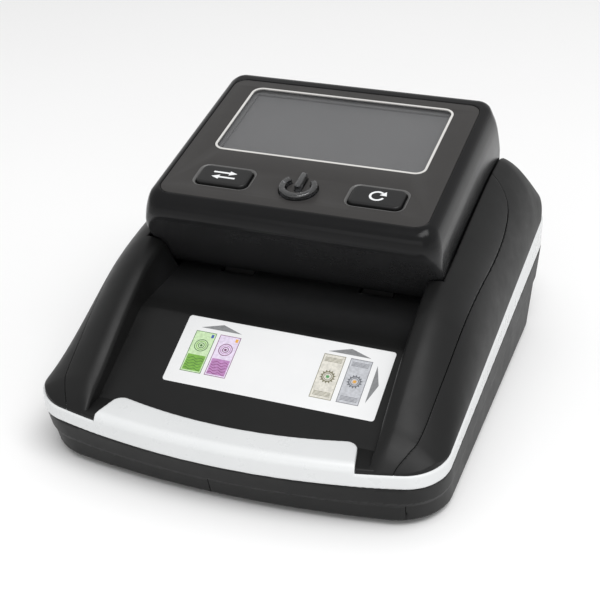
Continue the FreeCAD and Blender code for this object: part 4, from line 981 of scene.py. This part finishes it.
def sheet(x0, y0, w, h, base, mid, dark, spot, kind):
    """Plain invented note: tinted ground, frame lines, bands and a rosette."""
    x1, y1, cx = x0 + w, y0 + h, x0 + w / 2
    draw(base, 0, rect(x0, x1, y0, y1))
    draw(dark, 1, rect(x0, x1, y0, y1), rect(x0 + 0.22, x1 - 0.22, y0 + 0.22, y1 - 0.22))
    if kind == 0:
        draw(mid, 1, rect(x0 + 0.6, x1 - 0.6, y0 + 0.7, y0 + h * 0.42))
        cy = y0 + h * 0.66
        for i, r in enumerate((2.6, 1.9, 1.2)):
            ringed(mid if i % 2 else dark, 1, cx, cy, r, r, 0.28)
        draw(dark, 1, oval(cx, cy, 0.5, 0.5, 20))
        for i in range(5):
            q = y0 + 1.3 + i * h * 0.065
            draw(dark, 2, [(x0 + 0.9 + (x1 - x0 - 1.8) * k / 12, q + 0.35 * math.sin(k * 1.05 + i)) for k in range(13)]
                 + [(x0 + 0.9 + (x1 - x0 - 1.8) * k / 12, q + 0.22 + 0.35 * math.sin(k * 1.05 + i)) for k in range(12, -1, -1)])
        draw(spot, 1, rect(x1 - 1.7, x1 - 0.7, y1 - 2.2, y1 - 0.8))
    else:
        cy = y0 + h * 0.5
        draw(mid, 1, star(cx, cy, 2.9, 0.72, 14), oval(cx, cy, 1.75, 1.75))
        ringed(dark, 1, cx, cy, 1.5, 1.5, 0.25)
        draw(spot, 1, star(cx, cy, 0.95, 0.5, 6))
        for q in (y0 + 1.2, y1 - 3.0):
            for i in range(4):
                draw(mid if i % 2 else dark, 1, rect(x0 + 0.9, x1 - 0.9, q + i * 0.5, q + i * 0.5 + 0.2))


sheet(-26.6, 15.0, 8.0, 17.6, "pale_green", "green", "deep_green", "blue", 0)
sheet(-17.2, 15.0, 8.0, 17.6, "pale_lilac", "lilac", "plum", "amber", 0)
sheet(22.2, 14.6, 8.0, 18.4, "bone", "olive", "olive", "leaf", 1)
sheet(32.0, 14.6, 8.0, 18.4, "mist", "slate", "slate", "amber", 1)
draw("grey", 0, [(-25.4, 34.2), (-9.6, 34.2), (-17.4, 36.8)], [(23.2, 34.2), (39.0, 34.2), (31.2, 36.8)], [(42.0, 16.2), (44.6, 24.0), (42.0, 31.8)])
for (col, lv), loops in ART.items():
    piece(flat("label_print_%s_%d" % (col, lv), loops, 0.19, 0.212 + 0.008 * lv, label_pt), "base", INK[col])

# ------------------------------------------------------------------ remaining CAD nodes
SLOT = {s["node"]: s["material_slot"] for s in frame["record"]["subparts"]}
for n, o in nodes.items():
    m = M.get(SLOT.get(n))
    if m is not None:
        if not o.material_slots:
            o.data.materials.append(m)
        for sl in o.material_slots:
            sl.material = m

# ------------------------------------------------------------------ stage
fl = bpy.data.meshes.new("floor")
fl.from_pydata([(-6, -6, 0), (6, -6, 0), (6, 6, 0), (-6, 6, 0)], [], [(0, 1, 2, 3)])
floor_ob = bpy.data.objects.new("floor", fl)
bpy.context.scene.collection.objects.link(floor_ob)
fm, nt, b = mat("floor_pale")
nt.links.new(ramp(nt, noise(nt, 3.0, 3.0), [(0.3, (0.90, 0.90, 0.90)), (0.7, (0.915, 0.915, 0.915))]), b.inputs["Base Color"])
b.inputs["Roughness"].default_value = 0.9
b.inputs["Specular IOR Level"].default_value = 0.1
floor_ob.data.materials.append(fm)

w = bpy.data.worlds.new("studio")
bpy.context.scene.world = w
w.use_nodes = True
w.node_tree.nodes["Background"].inputs["Color"].default_value = (1, 1, 1, 1)
w.node_tree.nodes["Background"].inputs["Strength"].default_value = 0.66
bpy.context.scene.view_settings.view_transform = "Standard"


def area(name, loc, target, size, power_w, col=(1, 1, 1)):
    l = bpy.data.lights.new(name, "AREA")
    l.shape = "RECTANGLE"
    l.size, l.size_y = size
    l.energy = power_w
    l.color = col
    o = bpy.data.objects.new(name, l)
    bpy.context.scene.collection.objects.link(o)
    o.location = loc
    o.rotation_euler = (Vector(target) - Vector(loc)).to_track_quat("-Z", "Y").to_euler()
    return o


area("key", (0.45, -0.45, 1.3), (0, 0, 0.04), (1.0, 0.8), 13)
area("right", (1.15, 0.15, 0.8), (0, 0, 0.05), (0.7, 0.9), 0.3)
area("front", (0.1, -1.4, 0.4), (0, 0, 0.05), (1.2, 0.5), 1.5)

cam_d = bpy.data.cameras.new("camera")
cam = bpy.data.objects.new("camera", cam_d)
bpy.context.scene.collection.objects.link(cam)
bpy.context.scene.camera = cam
cam_d.sensor_width = 36.0
cam_d.lens = 80.706
cam_d.clip_start, cam_d.clip_end = 0.01, 50.0
A_, E_, R_ = math.radians(20.029), math.radians(28.443), math.radians(-0.509)
right = np.array([math.cos(A_), math.sin(A_), 0.0])
fwd = np.array([-math.sin(A_) * math.cos(E_), math.cos(A_) * math.cos(E_), -math.sin(E_)])
upv = np.cross(right, fwd)
c_, s_ = math.cos(R_), math.sin(R_)
r2, u2 = c_ * right + s_ * upv, -s_ * right + c_ * upv
pos = (np.array([153.048, -335.768, 278.910]) + MOVE) * 0.001
cam.matrix_world = Matrix([[r2[0], u2[0], -fwd[0], pos[0]], [r2[1], u2[1], -fwd[1], pos[1]],
                           [r2[2], u2[2], -fwd[2], pos[2]], [0, 0, 0, 1]])
